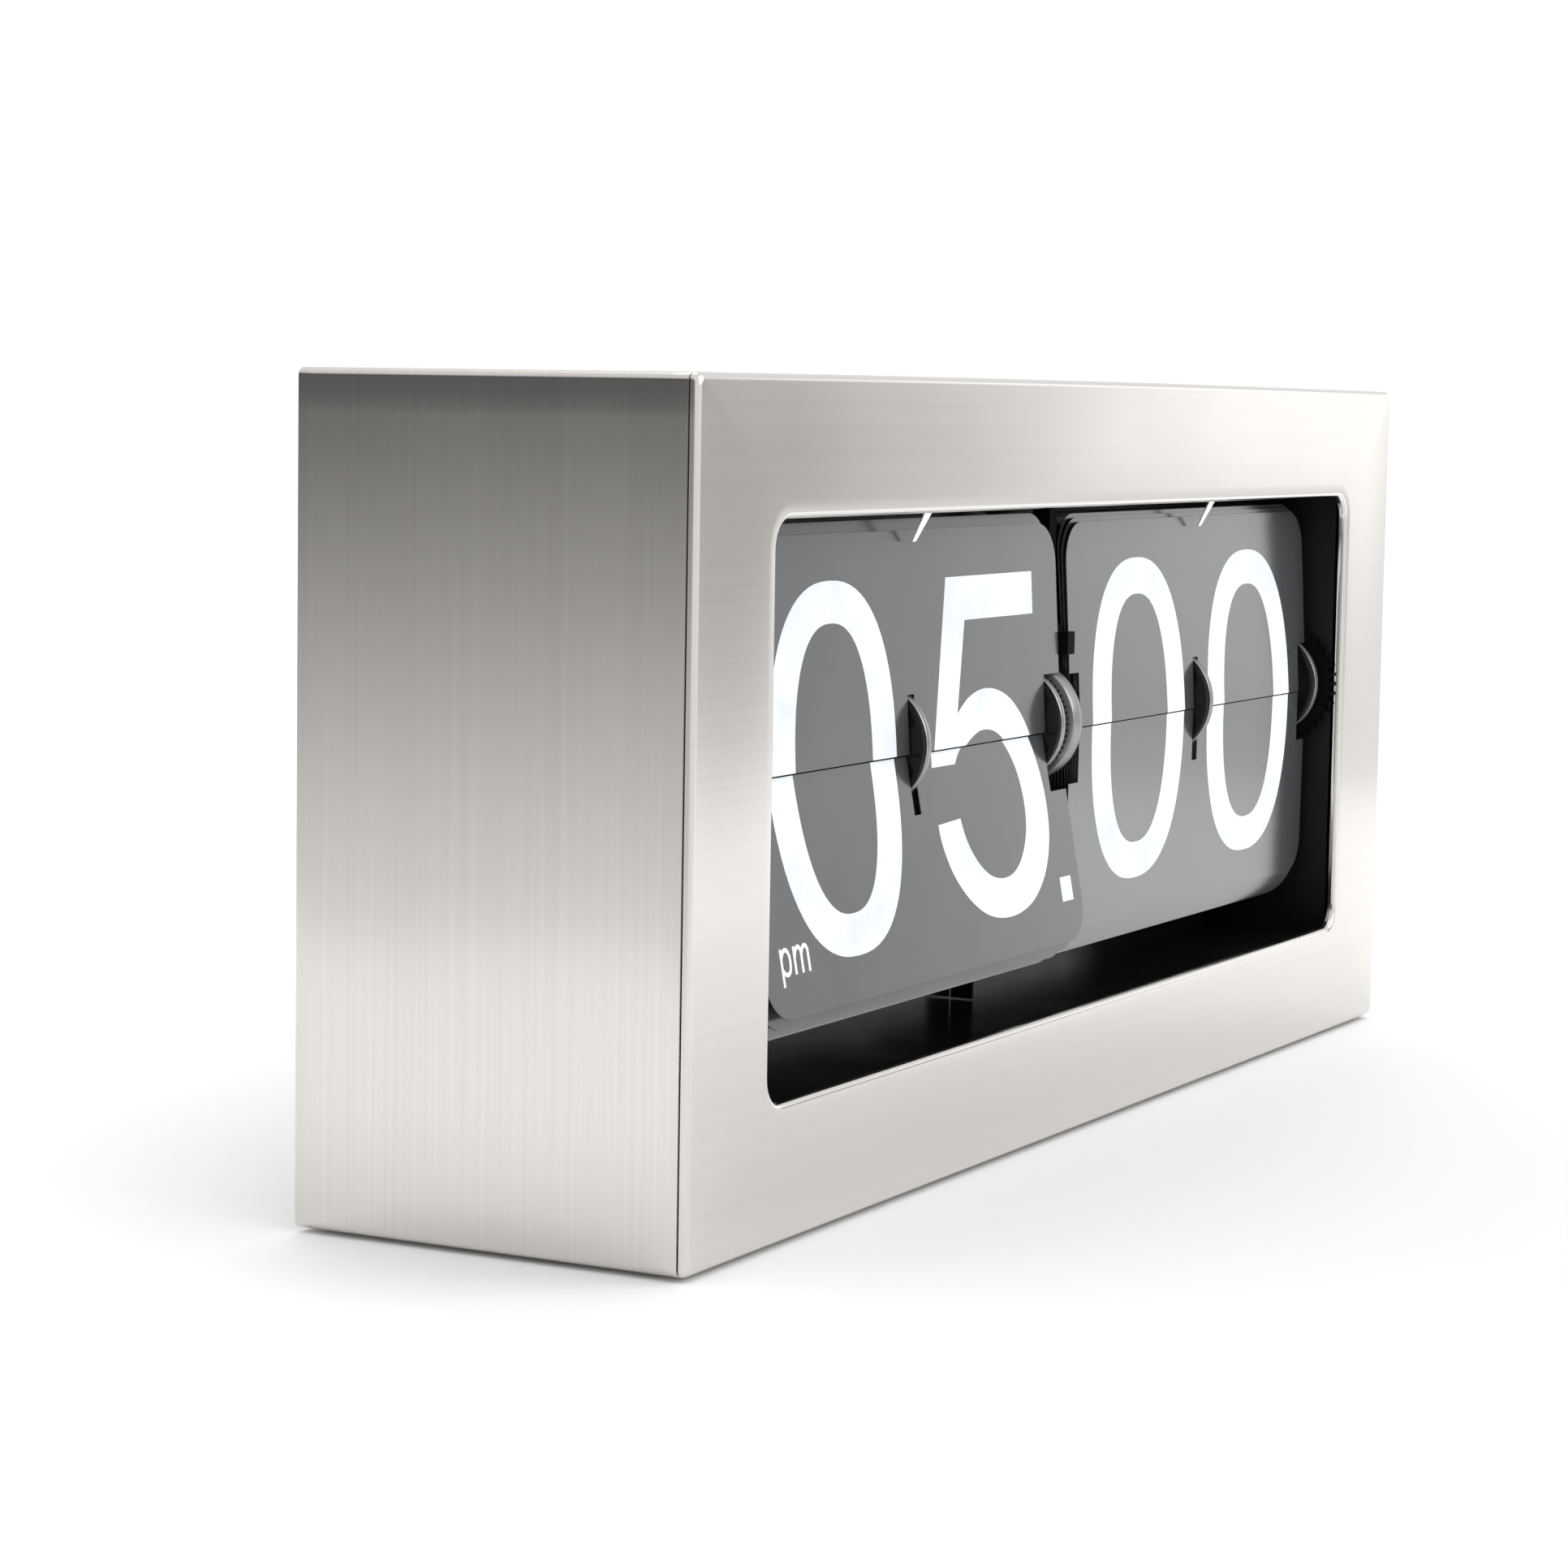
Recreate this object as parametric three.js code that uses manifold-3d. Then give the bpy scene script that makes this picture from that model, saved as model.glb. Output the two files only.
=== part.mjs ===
// Flip number clock: a brushed steel case with two card drums, hours on the left and minutes on the right.
// Millimetres, +Z up, +X to the clock's right seen from the front, -Y towards the reader.
// The origin is the middle of the footprint, on the surface that the clock stands on.
// Depths written as d run backwards from the front face, so y = d - CASE_DEPTH / 2.

import * as THREE from "three";
import { mergeVertices } from "three/addons/utils/BufferGeometryUtils.js";
import Module from "manifold-3d";

const wasm = await Module();
wasm.setup();

// ---- driving dimensions -------------------------------------------------------------------------

const CASE_WIDTH = 360;
const CASE_HEIGHT = 160;
const CASE_DEPTH = 83;
const GAP = 0.3; // clearance between pieces that touch on the real clock
const FOOT_HEIGHT = 0.6;
const SHEET = 0.8; // sleeve sheet thickness
const BEND = 1.5; // outside radius of the sleeve's folds

const WINDOW = { halfWidth: 149.6, low: 27, high: 133.6, corner: 5.5 };
const BEZEL_THICK = 1.6;
const BEZEL_LIP = 1.9; // depth of the folded lip round the window

const AXLE = { d: 17.2, z: 87.2, radius: 1.5 }; // common axis of both card drums
const CORE_RADIUS = 5;
const CORE_BORE = 1.8;
const RING_BORE = CORE_RADIUS + GAP;
const DISC_RADIUS = 12.4;
const SMALL_DISC_RADIUS = 9.7; // the disc beside the collar
const DISC_THICK = 2.3;
const COLLAR_RADIUS = 12.9;

const PIN_RADIUS = 8.6; // circle that the card hinges lie on
const LEAF_THICK = 0.3;
const LEAF_HEIGHT = 44.3;
const LEAF_CORNER = 8.5;
const LEAF_OUTER = 147.5; // |x| of a card's outer edge
const LEAF_INNER = 3; // |x| of a card's edge at the middle gap
const NOTCH_WIDTH = 5;
const NOTCH_DEPTH = 11.8;
const WIDE_NOTCH = { width: 8, depth: 12.3 }; // clears the hour gear and the collar
const SLOT_WIDTH = 3;
const LEAF_LEAN_START = 3.3; // degrees that the front upper card leans back
const LEAF_LEAN_EASE = 0.12; // how far the cards bunch up at the front
const FAN_SHIFT = 1.1; // the standing cards press this far back in their loose hinge holes
const PILE_SHIFT = 0.25; // and the hanging ones this far

// leanEnd is the direction of the front lower card: the hour cards hang forwards, the minute cards
// nearly plumb. The first `held` cards stand behind the catch, and the next one leans back by fanLean.
const HOURS = {
  side: -1, leaves: 24, upperPin: -4.6, edge: 0.9, stride: 1, leanEnd: 190.6, held: 2, fanLean: 19,
};
const MINUTES = {
  side: 1, leaves: 60, upperPin: -9.1, edge: 0.3, stride: 3, leanEnd: 179.5, held: 3, fanLean: 13,
};
const FAN_END = 205; // degrees round the drum where the back fan stops and the hanging pile starts
const PLUMB_END = 220; // up to here the hanging cards are plumb

const PLATE = { inner: 150.4, thick: 2, front: 3, back: 70 };
const FLOOR = { top: 25, thick: 2.5, back: 36 };
const ROOF_Z = 138;
const COVER = { d: 75, thick: 2.2, rimBack: 81.4, rimWall: 2 };

const TRANSFER_MODULE = 0.4;
const TRANSFER_TEETH = { minute: 14, wheel: 56, pinion: 10, hour: 60 };
const DRIVE_MODULE = 0.75;
const DRIVE_TEETH = { drum: 40, idler: 32, motor: 10, setter: 20 };
const GEAR_X = [147.8, 149.6]; // the drive gears turn between the cards and the right end plate

const CELL = { radius: 17.1, length: 61.5, d: 55.5, z: 21.5, x0: 28.5 };
const DOOR = { x0: 20, x1: 100, low: 4.9, high: 44, d0: 75.1, d1: 77.1 };
const THUMBWHEEL = { radius: 17.5, x0: 156, x1: 162 };

// ---- derived places -----------------------------------------------------------------------------

const HALF_WIDTH = CASE_WIDTH / 2;
const CASE_LOW = FOOT_HEIGHT + GAP;
const INNER_LOW = CASE_LOW + SHEET + 0.4; // lowest point of the pieces inside the sleeve
const INNER_HIGH = CASE_HEIGHT - SHEET - 0.4;
const INNER_HALF = HALF_WIDTH - SHEET - 0.4;
const MODULE_CENTRE = (LEAF_OUTER + LEAF_INNER) / 2;
const gearRadius = (module, teeth) => (module * teeth) / 2;
const TRANSFER_D = AXLE.d + gearRadius(TRANSFER_MODULE, TRANSFER_TEETH.pinion + TRANSFER_TEETH.hour);
const IDLER_D = AXLE.d + gearRadius(DRIVE_MODULE, DRIVE_TEETH.drum + DRIVE_TEETH.idler);
const SETTER_D = IDLER_D + gearRadius(DRIVE_MODULE, DRIVE_TEETH.idler + DRIVE_TEETH.setter);
const MOTOR_Z = AXLE.z - gearRadius(DRIVE_MODULE, DRIVE_TEETH.idler + DRIVE_TEETH.motor);

// ---- outline helpers ----------------------------------------------------------------------------

const radians = (degrees) => (degrees * Math.PI) / 180;

function arc(cu, cv, radius, from, to, steps) {
  return Array.from({ length: steps + 1 }, (_, i) => {
    const a = radians(from + ((to - from) * i) / steps);
    return new THREE.Vector2(cu + radius * Math.cos(a), cv + radius * Math.sin(a));
  });
}

const circle = (cu, cv, radius, sides) => arc(cu, cv, radius, 0, 360 - 360 / sides, sides - 1);

const polygon = (...pairs) => pairs.map(([u, v]) => new THREE.Vector2(u, v));

const rectangle = (u0, v0, u1, v1) => polygon([u0, v0], [u1, v0], [u1, v1], [u0, v1]);

function roundedRectangle(u0, v0, u1, v1, radius, steps = 3) {
  return [
    ...arc(u1 - radius, v0 + radius, radius, -90, 0, steps),
    ...arc(u1 - radius, v1 - radius, radius, 0, 90, steps),
    ...arc(u0 + radius, v1 - radius, radius, 90, 180, steps),
    ...arc(u0 + radius, v0 + radius, radius, 180, 270, steps),
  ];
}

// A toothed outline whose first tooth points along `phase` (degrees). Small pinions get a kinked flank.
function gearOutline(cu, cv, module, teeth, phase) {
  const pitch = gearRadius(module, teeth);
  const step = 360 / teeth;
  const root = { radius: pitch - 1.15 * module, half: 0.36 * step };
  const tip = { radius: pitch + 0.8 * module, half: 0.105 * step };
  const stations = teeth < 24 ? [root, { radius: pitch, half: 0.225 * step }, tip] : [root, tip];
  const profile = [...stations.map((s) => ({ ...s, half: -s.half })), ...stations.reverse()];
  const points = [];
  for (let tooth = 0; tooth < teeth; tooth += 1) {
    for (const { radius, half } of profile) {
      const a = radians(phase + tooth * step + half);
      points.push(new THREE.Vector2(cu + radius * Math.cos(a), cv + radius * Math.sin(a)));
    }
  }
  return points;
}

// Phase of a gear that meshes with another, seen along `direction` from the first gear's centre.
function meshPhase(phase, teeth, otherTeeth, direction) {
  return direction + 180 + 180 / otherTeeth - ((phase - direction) * teeth) / otherTeeth;
}

// ---- solid helpers ------------------------------------------------------------------------------

function extrude(outline, depth, holes = []) {
  const shape = new THREE.Shape(outline);
  shape.holes = holes.map((hole) => new THREE.Path(hole));
  return new THREE.ExtrudeGeometry(shape, { depth, bevelEnabled: false, curveSegments: 1 });
}

// Outline in (d, z), swept along X from x0 to x1.
function alongX(outline, x0, x1, holes = []) {
  const place = new THREE.Matrix4().set(0, 0, 1, x0, 1, 0, 0, -CASE_DEPTH / 2, 0, 1, 0, 0, 0, 0, 0, 1);
  return extrude(outline, x1 - x0, holes).applyMatrix4(place);
}

// Outline in (x, z), swept along depth from d0 to d1.
function alongDepth(outline, d0, d1, holes = []) {
  const geometry = extrude(outline, d1 - d0, holes);
  return geometry.rotateX(Math.PI / 2).translate(0, d1 - CASE_DEPTH / 2, 0);
}

const block = (x0, x1, d0, d1, z0, z1) => alongX(rectangle(d0, z0, d1, z1), x0, x1);

const rod = (x0, x1, radius, d, z, sides = 16) => alongX(circle(d, z, radius, sides), x0, x1);

const drumRing = (x0, x1, radius, bore, sides = 40) =>
  alongX(circle(AXLE.d, AXLE.z, radius, sides), x0, x1, [circle(AXLE.d, AXLE.z, bore, 20)]);

function solidOf(geometry) {
  const bare = geometry.clone();
  bare.deleteAttribute("normal");
  bare.deleteAttribute("uv");
  const merged = mergeVertices(bare, 1e-5);
  const vertProperties = new Float32Array(merged.attributes.position.array);
  const triVerts = new Uint32Array(merged.index.array);
  return new wasm.Manifold(new wasm.Mesh({ numProp: 3, vertProperties, triVerts }));
}

function geometryOf(solid) {
  const mesh = solid.getMesh();
  const geometry = new THREE.BufferGeometry();
  geometry.setAttribute("position", new THREE.BufferAttribute(new Float32Array(mesh.vertProperties), 3));
  geometry.setIndex(new THREE.BufferAttribute(new Uint32Array(mesh.triVerts), 1));
  return geometry;
}

const joined = (...parts) => geometryOf(parts.map(solidOf).reduce((whole, part) => whole.add(part)));

const cut = (body, ...tools) =>
  geometryOf(tools.map(solidOf).reduce((rest, tool) => rest.subtract(tool), solidOf(body)));

// ---- scene --------------------------------------------------------------------------------------

const FINISHES = {
  brushedSteel: { color: 0xc9c4bc, roughness: 0.35, metalness: 1 },
  blackPlastic: { color: 0x151515, roughness: 0.35, metalness: 0 },
  card: { color: 0x3d3d3d, roughness: 0.55, metalness: 0 },
  greyPlastic: { color: 0x3a3a3c, roughness: 0.3, metalness: 0 },
  gearPlastic: { color: 0xe6e2d6, roughness: 0.5, metalness: 0 },
  springSteel: { color: 0xd8d8d4, roughness: 0.3, metalness: 1 },
  rubber: { color: 0x1b1b1b, roughness: 0.9, metalness: 0 },
  brass: { color: 0xb8964a, roughness: 0.35, metalness: 1 },
  cellWrap: { color: 0x2d5d8a, roughness: 0.4, metalness: 0 },
  board: { color: 0x1d5a34, roughness: 0.5, metalness: 0 },
  redLead: { color: 0xa01818, roughness: 0.5, metalness: 0 },
};

const clock = new THREE.Group();

function add(name, geometry, finish, group = clock) {
  const mesh = new THREE.Mesh(geometry, new THREE.MeshStandardMaterial(FINISHES[finish]));
  mesh.name = name;
  group.add(mesh);
  return mesh;
}

// ---- case ---------------------------------------------------------------------------------------

function caseSleeve() {
  const outer = roundedRectangle(-HALF_WIDTH, CASE_LOW, HALF_WIDTH, CASE_HEIGHT, BEND);
  const inner = roundedRectangle(
    -HALF_WIDTH + SHEET, CASE_LOW + SHEET, HALF_WIDTH - SHEET, CASE_HEIGHT - SHEET, BEND - SHEET,
  );
  return alongDepth(outer, BEZEL_THICK + GAP, CASE_DEPTH, [inner]);
}

function windowOutline(grow) {
  const { halfWidth, low, high, corner } = WINDOW;
  return roundedRectangle(-halfWidth - grow, low - grow, halfWidth + grow, high + grow, corner + grow, 4);
}

function frontBezel() {
  const locatingWall = 1;
  const locatingBack = 6;
  const face = roundedRectangle(-HALF_WIDTH, CASE_LOW, HALF_WIDTH, CASE_HEIGHT, BEND);
  const rimOuter = rectangle(-INNER_HALF, INNER_LOW, INNER_HALF, INNER_HIGH);
  const rimInner = rectangle(
    -INNER_HALF + locatingWall, INNER_LOW + locatingWall, INNER_HALF - locatingWall, INNER_HIGH - locatingWall,
  );
  return joined(
    alongDepth(face, 0, BEZEL_THICK, [windowOutline(0)]),
    alongDepth(windowOutline(1.2), 0.5, BEZEL_LIP, [windowOutline(0)]),
    alongDepth(rimOuter, 0.5, locatingBack, [rimInner]),
  );
}

const SCREW_X = 158;
const SCREW_Z = [22, 138];
const SCREW_HOLE = 1.7;

function rearCover() {
  const { d, thick, rimBack, rimWall } = COVER;
  const outer = rectangle(-INNER_HALF, INNER_LOW, INNER_HALF, INNER_HIGH);
  const inner = rectangle(-INNER_HALF + rimWall, INNER_LOW + rimWall, INNER_HALF - rimWall, INNER_HIGH - rimWall);
  const doorway = rectangle(DOOR.x0 - 0.4, INNER_LOW + rimWall + 0.1, DOOR.x1 + 0.4, DOOR.high + 0.4);
  const wheelSlot = rectangle(THUMBWHEEL.x0 - 0.8, AXLE.z - 14.3, THUMBWHEEL.x1 + 0.8, AXLE.z + 14.3);
  const screwHoles = [-SCREW_X, SCREW_X].flatMap((x) => SCREW_Z.map((z) => circle(x, z, SCREW_HOLE, 12)));
  return joined(
    alongDepth(outer, d, d + thick, [doorway, wheelSlot, ...screwHoles]),
    alongDepth(outer, d + thick - 0.1, rimBack, [inner]),
  );
}

function batteryDoor() {
  const panel = block(DOOR.x0, DOOR.x1, DOOR.d0, DOOR.d1, DOOR.low, DOOR.high);
  const gripX = (DOOR.x0 + DOOR.x1) / 2;
  const grips = [0, 1, 2].map((i) => {
    const z = DOOR.high - 5 - i * 2.4;
    return block(gripX - 9, gripX + 9, DOOR.d1 - 0.2, DOOR.d1 + 0.8, z, z + 1.1);
  });
  return joined(panel, ...grips);
}

function coverScrew(x, z) {
  const head = alongDepth(circle(x, z, 3, 20), COVER.d + COVER.thick + GAP, COVER.d + 4.3);
  const shank = alongDepth(circle(x, z, 1.3, 12), COVER.d - 3.2, COVER.d + 3);
  return joined(head, shank);
}

add("case_sleeve", caseSleeve(), "brushedSteel");
add("front_bezel", frontBezel(), "brushedSteel");
add("rear_cover", rearCover(), "blackPlastic");
add("battery_door", batteryDoor(), "blackPlastic");

const FOOT = { radius: 6, x: 160, y: 28 };
for (const [end, y] of [["front", -FOOT.y], ["rear", FOOT.y]]) {
  for (const [side, x] of [["left", -FOOT.x], ["right", FOOT.x]]) {
    const pad = new THREE.CylinderGeometry(FOOT.radius, FOOT.radius, FOOT_HEIGHT, 24).rotateX(Math.PI / 2);
    add(`foot_pad_${end}_${side}`, pad, "rubber").position.set(x, y, FOOT_HEIGHT / 2);
  }
}

for (const [side, x] of [["left", -SCREW_X], ["right", SCREW_X]]) {
  add(`cover_screw_${side}_low`, coverScrew(x, SCREW_Z[0]), "springSteel");
  add(`cover_screw_${side}_high`, coverScrew(x, SCREW_Z[1]), "springSteel");
}

// ---- movement frame -----------------------------------------------------------------------------

const ARBOR = { idler: 1, motor: 1, setter: 1.5 };

function endPlate(side, holes) {
  const { inner, thick, front, back } = PLATE;
  const outline = polygon(
    [7, INNER_LOW], [back, INNER_LOW], [back, INNER_HIGH], [7, INNER_HIGH],
    [7, 150], [front, 150], [front, 10], [7, 10],
  );
  const span = (near, far) => (side > 0 ? [near, far] : [-far, -near]);
  const parts = [alongX(outline, ...span(inner, inner + thick), holes)];
  for (const z of SCREW_Z) {
    const tongue = block(...span(inner, inner + thick), back - 1, COVER.d - GAP, z - 12, z + 12);
    const flange = block(...span(inner, SCREW_X + 6), COVER.d - GAP - 2, COVER.d - GAP, z - 12, z + 12);
    const hole = alongDepth(circle(side * SCREW_X, z, SCREW_HOLE, 12), COVER.d - 4, COVER.d + 1);
    parts.push(tongue, cut(flange, hole));
  }
  return joined(...parts);
}

function centreBracket() {
  const clear = 0.3;
  const outline = rectangle(TRANSFER_D - 1.8, FLOOR.top + GAP, TRANSFER_D + 3.2, ROOF_Z - GAP);
  return alongX(outline, -0.3, 0.7, [circle(TRANSFER_D, AXLE.z, 0.75 + clear, 12)]);
}

function mainAxle() {
  const { d, z, radius } = AXLE;
  const head = PLATE.inner + PLATE.thick + 0.4;
  return joined(
    rod(-head - 1.2, head + 1.2, radius, d, z, 20),
    rod(-head - 1.2, -head, 2.8, d, z, 20),
    rod(head, head + 1.2, 2.8, d, z, 20),
  );
}

const plateWidth = PLATE.inner - GAP;

// The shiny floor below the cards, with a low wall behind it.
function movementBase() {
  const { top, thick, back } = FLOOR;
  return joined(
    block(-plateWidth, plateWidth, PLATE.front, back, top - thick, top),
    block(-plateWidth, plateWidth, back - 1.2, back, top - 0.5, top + 9),
  );
}

const axleHole = circle(AXLE.d, AXLE.z, AXLE.radius + GAP, 20);
const trainHoles = [
  circle(IDLER_D, AXLE.z, ARBOR.idler + GAP, 14),
  circle(IDLER_D, MOTOR_Z, ARBOR.motor + GAP, 14),
  circle(SETTER_D, AXLE.z, ARBOR.setter + GAP, 14),
];
add("left_end_plate", endPlate(-1, [axleHole]), "blackPlastic");
add("right_end_plate", endPlate(1, [axleHole, ...trainHoles]), "blackPlastic");
add("movement_base", movementBase(), "blackPlastic");
add("movement_roof", block(-plateWidth, plateWidth, PLATE.front, 66, ROOF_Z, ROOF_Z + 2), "blackPlastic");
add("centre_bracket", centreBracket(), "blackPlastic");
add("main_axle", mainAxle(), "springSteel");

// ---- card catches -------------------------------------------------------------------------------

const RAIL = { d0: 6.2, d1: 9.2, low: 134.6 };
const CATCH = { width: 3.4, tipWidth: 1.6, thick: 0.3, tipD: 9.4, tipZ: 127.6 };

// A spring finger: down the rail's front face, then back to the top edge of the front card. It narrows
// to its tip.
function leafCatch(side) {
  const front = RAIL.d0 - GAP;
  const outline = polygon(
    [front - CATCH.thick, ROOF_Z - 0.6], [front - CATCH.thick, 134.2], [CATCH.tipD - 0.35, CATCH.tipZ],
    [CATCH.tipD, CATCH.tipZ + 0.1], [front, 134.3], [front, ROOF_Z - 0.6],
  );
  const x = side * MODULE_CENTRE;
  const finger = alongX(outline, x - CATCH.width / 2, x + CATCH.width / 2);
  const points = finger.getAttribute("position");
  for (let i = 0; i < points.count; i += 1) {
    if (points.getZ(i) < RAIL.low - 1) {
      points.setX(i, x + ((points.getX(i) - x) * CATCH.tipWidth) / CATCH.width);
    }
  }
  return finger;
}

function centreLeafGuide() {
  const outline = polygon(
    [17, ROOF_Z - GAP], [13, ROOF_Z - GAP], [13, 110.4], [10.8, 106.5], [8.1, 106.5], [8.1, 101.7], [17, 101.7],
  );
  return alongX(outline, -0.9, 2.7);
}

add("catch_rail", block(-plateWidth, plateWidth, RAIL.d0, RAIL.d1, RAIL.low, ROOF_Z - GAP), "blackPlastic");
add("leaf_catch_hour", leafCatch(-1), "springSteel");
add("leaf_catch_minute", leafCatch(1), "springSteel");
add("centre_leaf_guide", centreLeafGuide(), "blackPlastic");

// ---- card drums ---------------------------------------------------------------------------------

function drumGear(x0, x1, module, teeth) {
  return alongX(gearOutline(AXLE.d, AXLE.z, module, teeth, 0), x0, x1, [circle(AXLE.d, AXLE.z, RING_BORE, 20)]);
}

// The thick flange at the inner end, and the small pinion that drives the hour drum.
function minuteCollar() {
  const [x0, x1] = [-5.5, -0.6];
  const pinion = gearOutline(AXLE.d, AXLE.z, TRANSFER_MODULE, TRANSFER_TEETH.minute, 0);
  return joined(
    drumRing(x0, x1, COLLAR_RADIUS, CORE_BORE),
    alongX(pinion, x1 - 0.1, 2.6, [circle(AXLE.d, AXLE.z, CORE_BORE, 20)]),
  );
}

const disc = (x0, radius = DISC_RADIUS) => drumRing(x0, x0 + DISC_THICK, radius, RING_BORE);

add("hour_drum_core", drumRing(-149.9, -6.6, CORE_RADIUS, CORE_BORE, 20), "greyPlastic");
add("hour_disc_left", disc(-146.2), "greyPlastic");
add("hour_disc_centre", disc(-MODULE_CENTRE - DISC_THICK / 2), "greyPlastic");
add("hour_disc_right", disc(-10.7), "greyPlastic");
add("hour_drum_gear", drumGear(-8.1, -6.9, TRANSFER_MODULE, TRANSFER_TEETH.hour), "blackPlastic");

add("minute_drum_core", drumRing(2.9, 149.9, CORE_RADIUS, CORE_BORE, 20), "greyPlastic");
add("minute_disc_left", disc(4.4, SMALL_DISC_RADIUS), "greyPlastic");
add("minute_disc_centre", disc(MODULE_CENTRE - DISC_THICK / 2), "greyPlastic");
add("minute_disc_right", disc(143.9), "greyPlastic");
add("minute_drum_collar", minuteCollar(), "greyPlastic");
add("minute_drive_gear", drumGear(...GEAR_X, DRIVE_MODULE, DRIVE_TEETH.drum), "gearPlastic");

// ---- gear train between the drums ---------------------------------------------------------------

function arborGear(x0, x1, d, z, module, teeth, phase, bore) {
  return alongX(gearOutline(d, z, module, teeth, phase), x0, x1, [circle(d, z, bore, 14)]);
}

const wheelPhase = meshPhase(0, TRANSFER_TEETH.minute, TRANSFER_TEETH.wheel, 0);
const pinionPhase = meshPhase(0, TRANSFER_TEETH.hour, TRANSFER_TEETH.pinion, 0);
add("transfer_arbor", rod(-8.5, 2.7, 0.75, TRANSFER_D, AXLE.z, 12), "springSteel");
add("transfer_wheel",
  arborGear(1, 2.2, TRANSFER_D, AXLE.z, TRANSFER_MODULE, TRANSFER_TEETH.wheel, wheelPhase, 1.05), "gearPlastic");
add("transfer_pinion",
  arborGear(-8.1, -6.9, TRANSFER_D, AXLE.z, TRANSFER_MODULE, TRANSFER_TEETH.pinion, pinionPhase, 1.05),
  "gearPlastic");

// ---- drive train at the right end ---------------------------------------------------------------

function idlerArbor() {
  const outside = PLATE.inner + PLATE.thick + 0.4;
  return joined(
    rod(GEAR_X[0], outside + 0.8, ARBOR.idler, IDLER_D, AXLE.z, 14),
    rod(outside, outside + 0.8, 2.2, IDLER_D, AXLE.z, 14),
  );
}

function motorPinion(phase) {
  return joined(
    alongX(gearOutline(IDLER_D, MOTOR_Z, DRIVE_MODULE, DRIVE_TEETH.motor, phase), ...GEAR_X),
    rod(GEAR_X[0] + 0.5, PLATE.inner + PLATE.thick + 0.2, ARBOR.motor, IDLER_D, MOTOR_Z, 14),
  );
}

function driveMotor() {
  const [x0, x1] = [PLATE.inner + PLATE.thick + 0.5, 166];
  const [d, z] = [35, 62];
  return joined(rod(x0, x1, 15, d, z, 36), block(x0, x0 + 6, d - 19, d + 4, z - 8, z + 8));
}

function thumbwheel() {
  const ribs = 28;
  const { radius, x0, x1 } = THUMBWHEEL;
  const outline = Array.from({ length: ribs * 4 }, (_, i) => {
    const a = radians(((i - 0.5) * 360) / (ribs * 4));
    const r = i % 4 < 2 ? radius : radius - 0.7;
    return new THREE.Vector2(SETTER_D + r * Math.cos(a), AXLE.z + r * Math.sin(a));
  });
  return alongX(outline, x0, x1, [circle(SETTER_D, AXLE.z, ARBOR.setter + GAP, 14)]);
}

const idlerPhase = meshPhase(0, DRIVE_TEETH.drum, DRIVE_TEETH.idler, 0);
const setterPhase = meshPhase(idlerPhase, DRIVE_TEETH.idler, DRIVE_TEETH.setter, 0);
const motorPhase = meshPhase(idlerPhase, DRIVE_TEETH.idler, DRIVE_TEETH.motor, -90);
add("idler_arbor", idlerArbor(), "springSteel");
add("idler_gear",
  arborGear(...GEAR_X, IDLER_D, AXLE.z, DRIVE_MODULE, DRIVE_TEETH.idler, idlerPhase, ARBOR.idler + GAP),
  "gearPlastic");
add("motor_pinion", motorPinion(motorPhase), "brass");
add("drive_motor", driveMotor(), "springSteel");
add("time_set_gear",
  arborGear(...GEAR_X, SETTER_D, AXLE.z, DRIVE_MODULE, DRIVE_TEETH.setter, setterPhase, ARBOR.setter + GAP),
  "gearPlastic");
add("time_set_arbor", rod(GEAR_X[0], THUMBWHEEL.x1 + 1, ARBOR.setter, SETTER_D, AXLE.z, 14), "springSteel");
add("time_set_wheel", thumbwheel(), "blackPlastic");

// ---- cards --------------------------------------------------------------------------------------

// Card outline in (x, s), with s measured along the card from its hinge pins to its free edge.
function leafOutline(drum, cornerSteps) {
  const left = drum.side < 0 ? -LEAF_OUTER : LEAF_INNER;
  const right = drum.side < 0 ? -LEAF_INNER : LEAF_OUTER;
  const centre = drum.side * MODULE_CENTRE;
  const plain = { width: NOTCH_WIDTH, depth: NOTCH_DEPTH };
  const notch = drum.side < 0 ? { left: plain, right: WIDE_NOTCH } : { left: plain, right: plain };
  const low = -drum.edge;
  const high = LEAF_HEIGHT - drum.edge;
  return [
    ...polygon([left, low + notch.left.depth], [left + notch.left.width, low + notch.left.depth],
      [left + notch.left.width, low], [centre - SLOT_WIDTH / 2, low],
      [centre - SLOT_WIDTH / 2, low + NOTCH_DEPTH], [centre + SLOT_WIDTH / 2, low + NOTCH_DEPTH],
      [centre + SLOT_WIDTH / 2, low], [right - notch.right.width, low],
      [right - notch.right.width, low + notch.right.depth], [right, low + notch.right.depth]),
    ...arc(right - LEAF_CORNER, high - LEAF_CORNER, LEAF_CORNER, 0, 90, cornerSteps),
    ...arc(left + LEAF_CORNER, high - LEAF_CORNER, LEAF_CORNER, 90, 180, cornerSteps),
  ];
}

// Where a card stands when its hinge is `index` places after the front upper card's, going over the top.
function leafStand(drum, index) {
  const pitch = 360 / drum.leaves;
  const t = index / (drum.leaves - 1);
  const eased = t - LEAF_LEAN_EASE * Math.sin(2 * Math.PI * t);
  const angle = drum.upperPin + pitch * index;
  return {
    angle,
    lean: LEAF_LEAN_START + (drum.leanEnd - LEAF_LEAN_START) * eased,
    d: AXLE.d - PIN_RADIUS * Math.cos(radians(angle)),
    z: AXLE.z + PIN_RADIUS * Math.sin(radians(angle)),
  };
}

function fanEnd(drum) {
  return Math.floor(((FAN_END - drum.upperPin) * drum.leaves) / 360 / drum.stride) * drum.stride;
}

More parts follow.
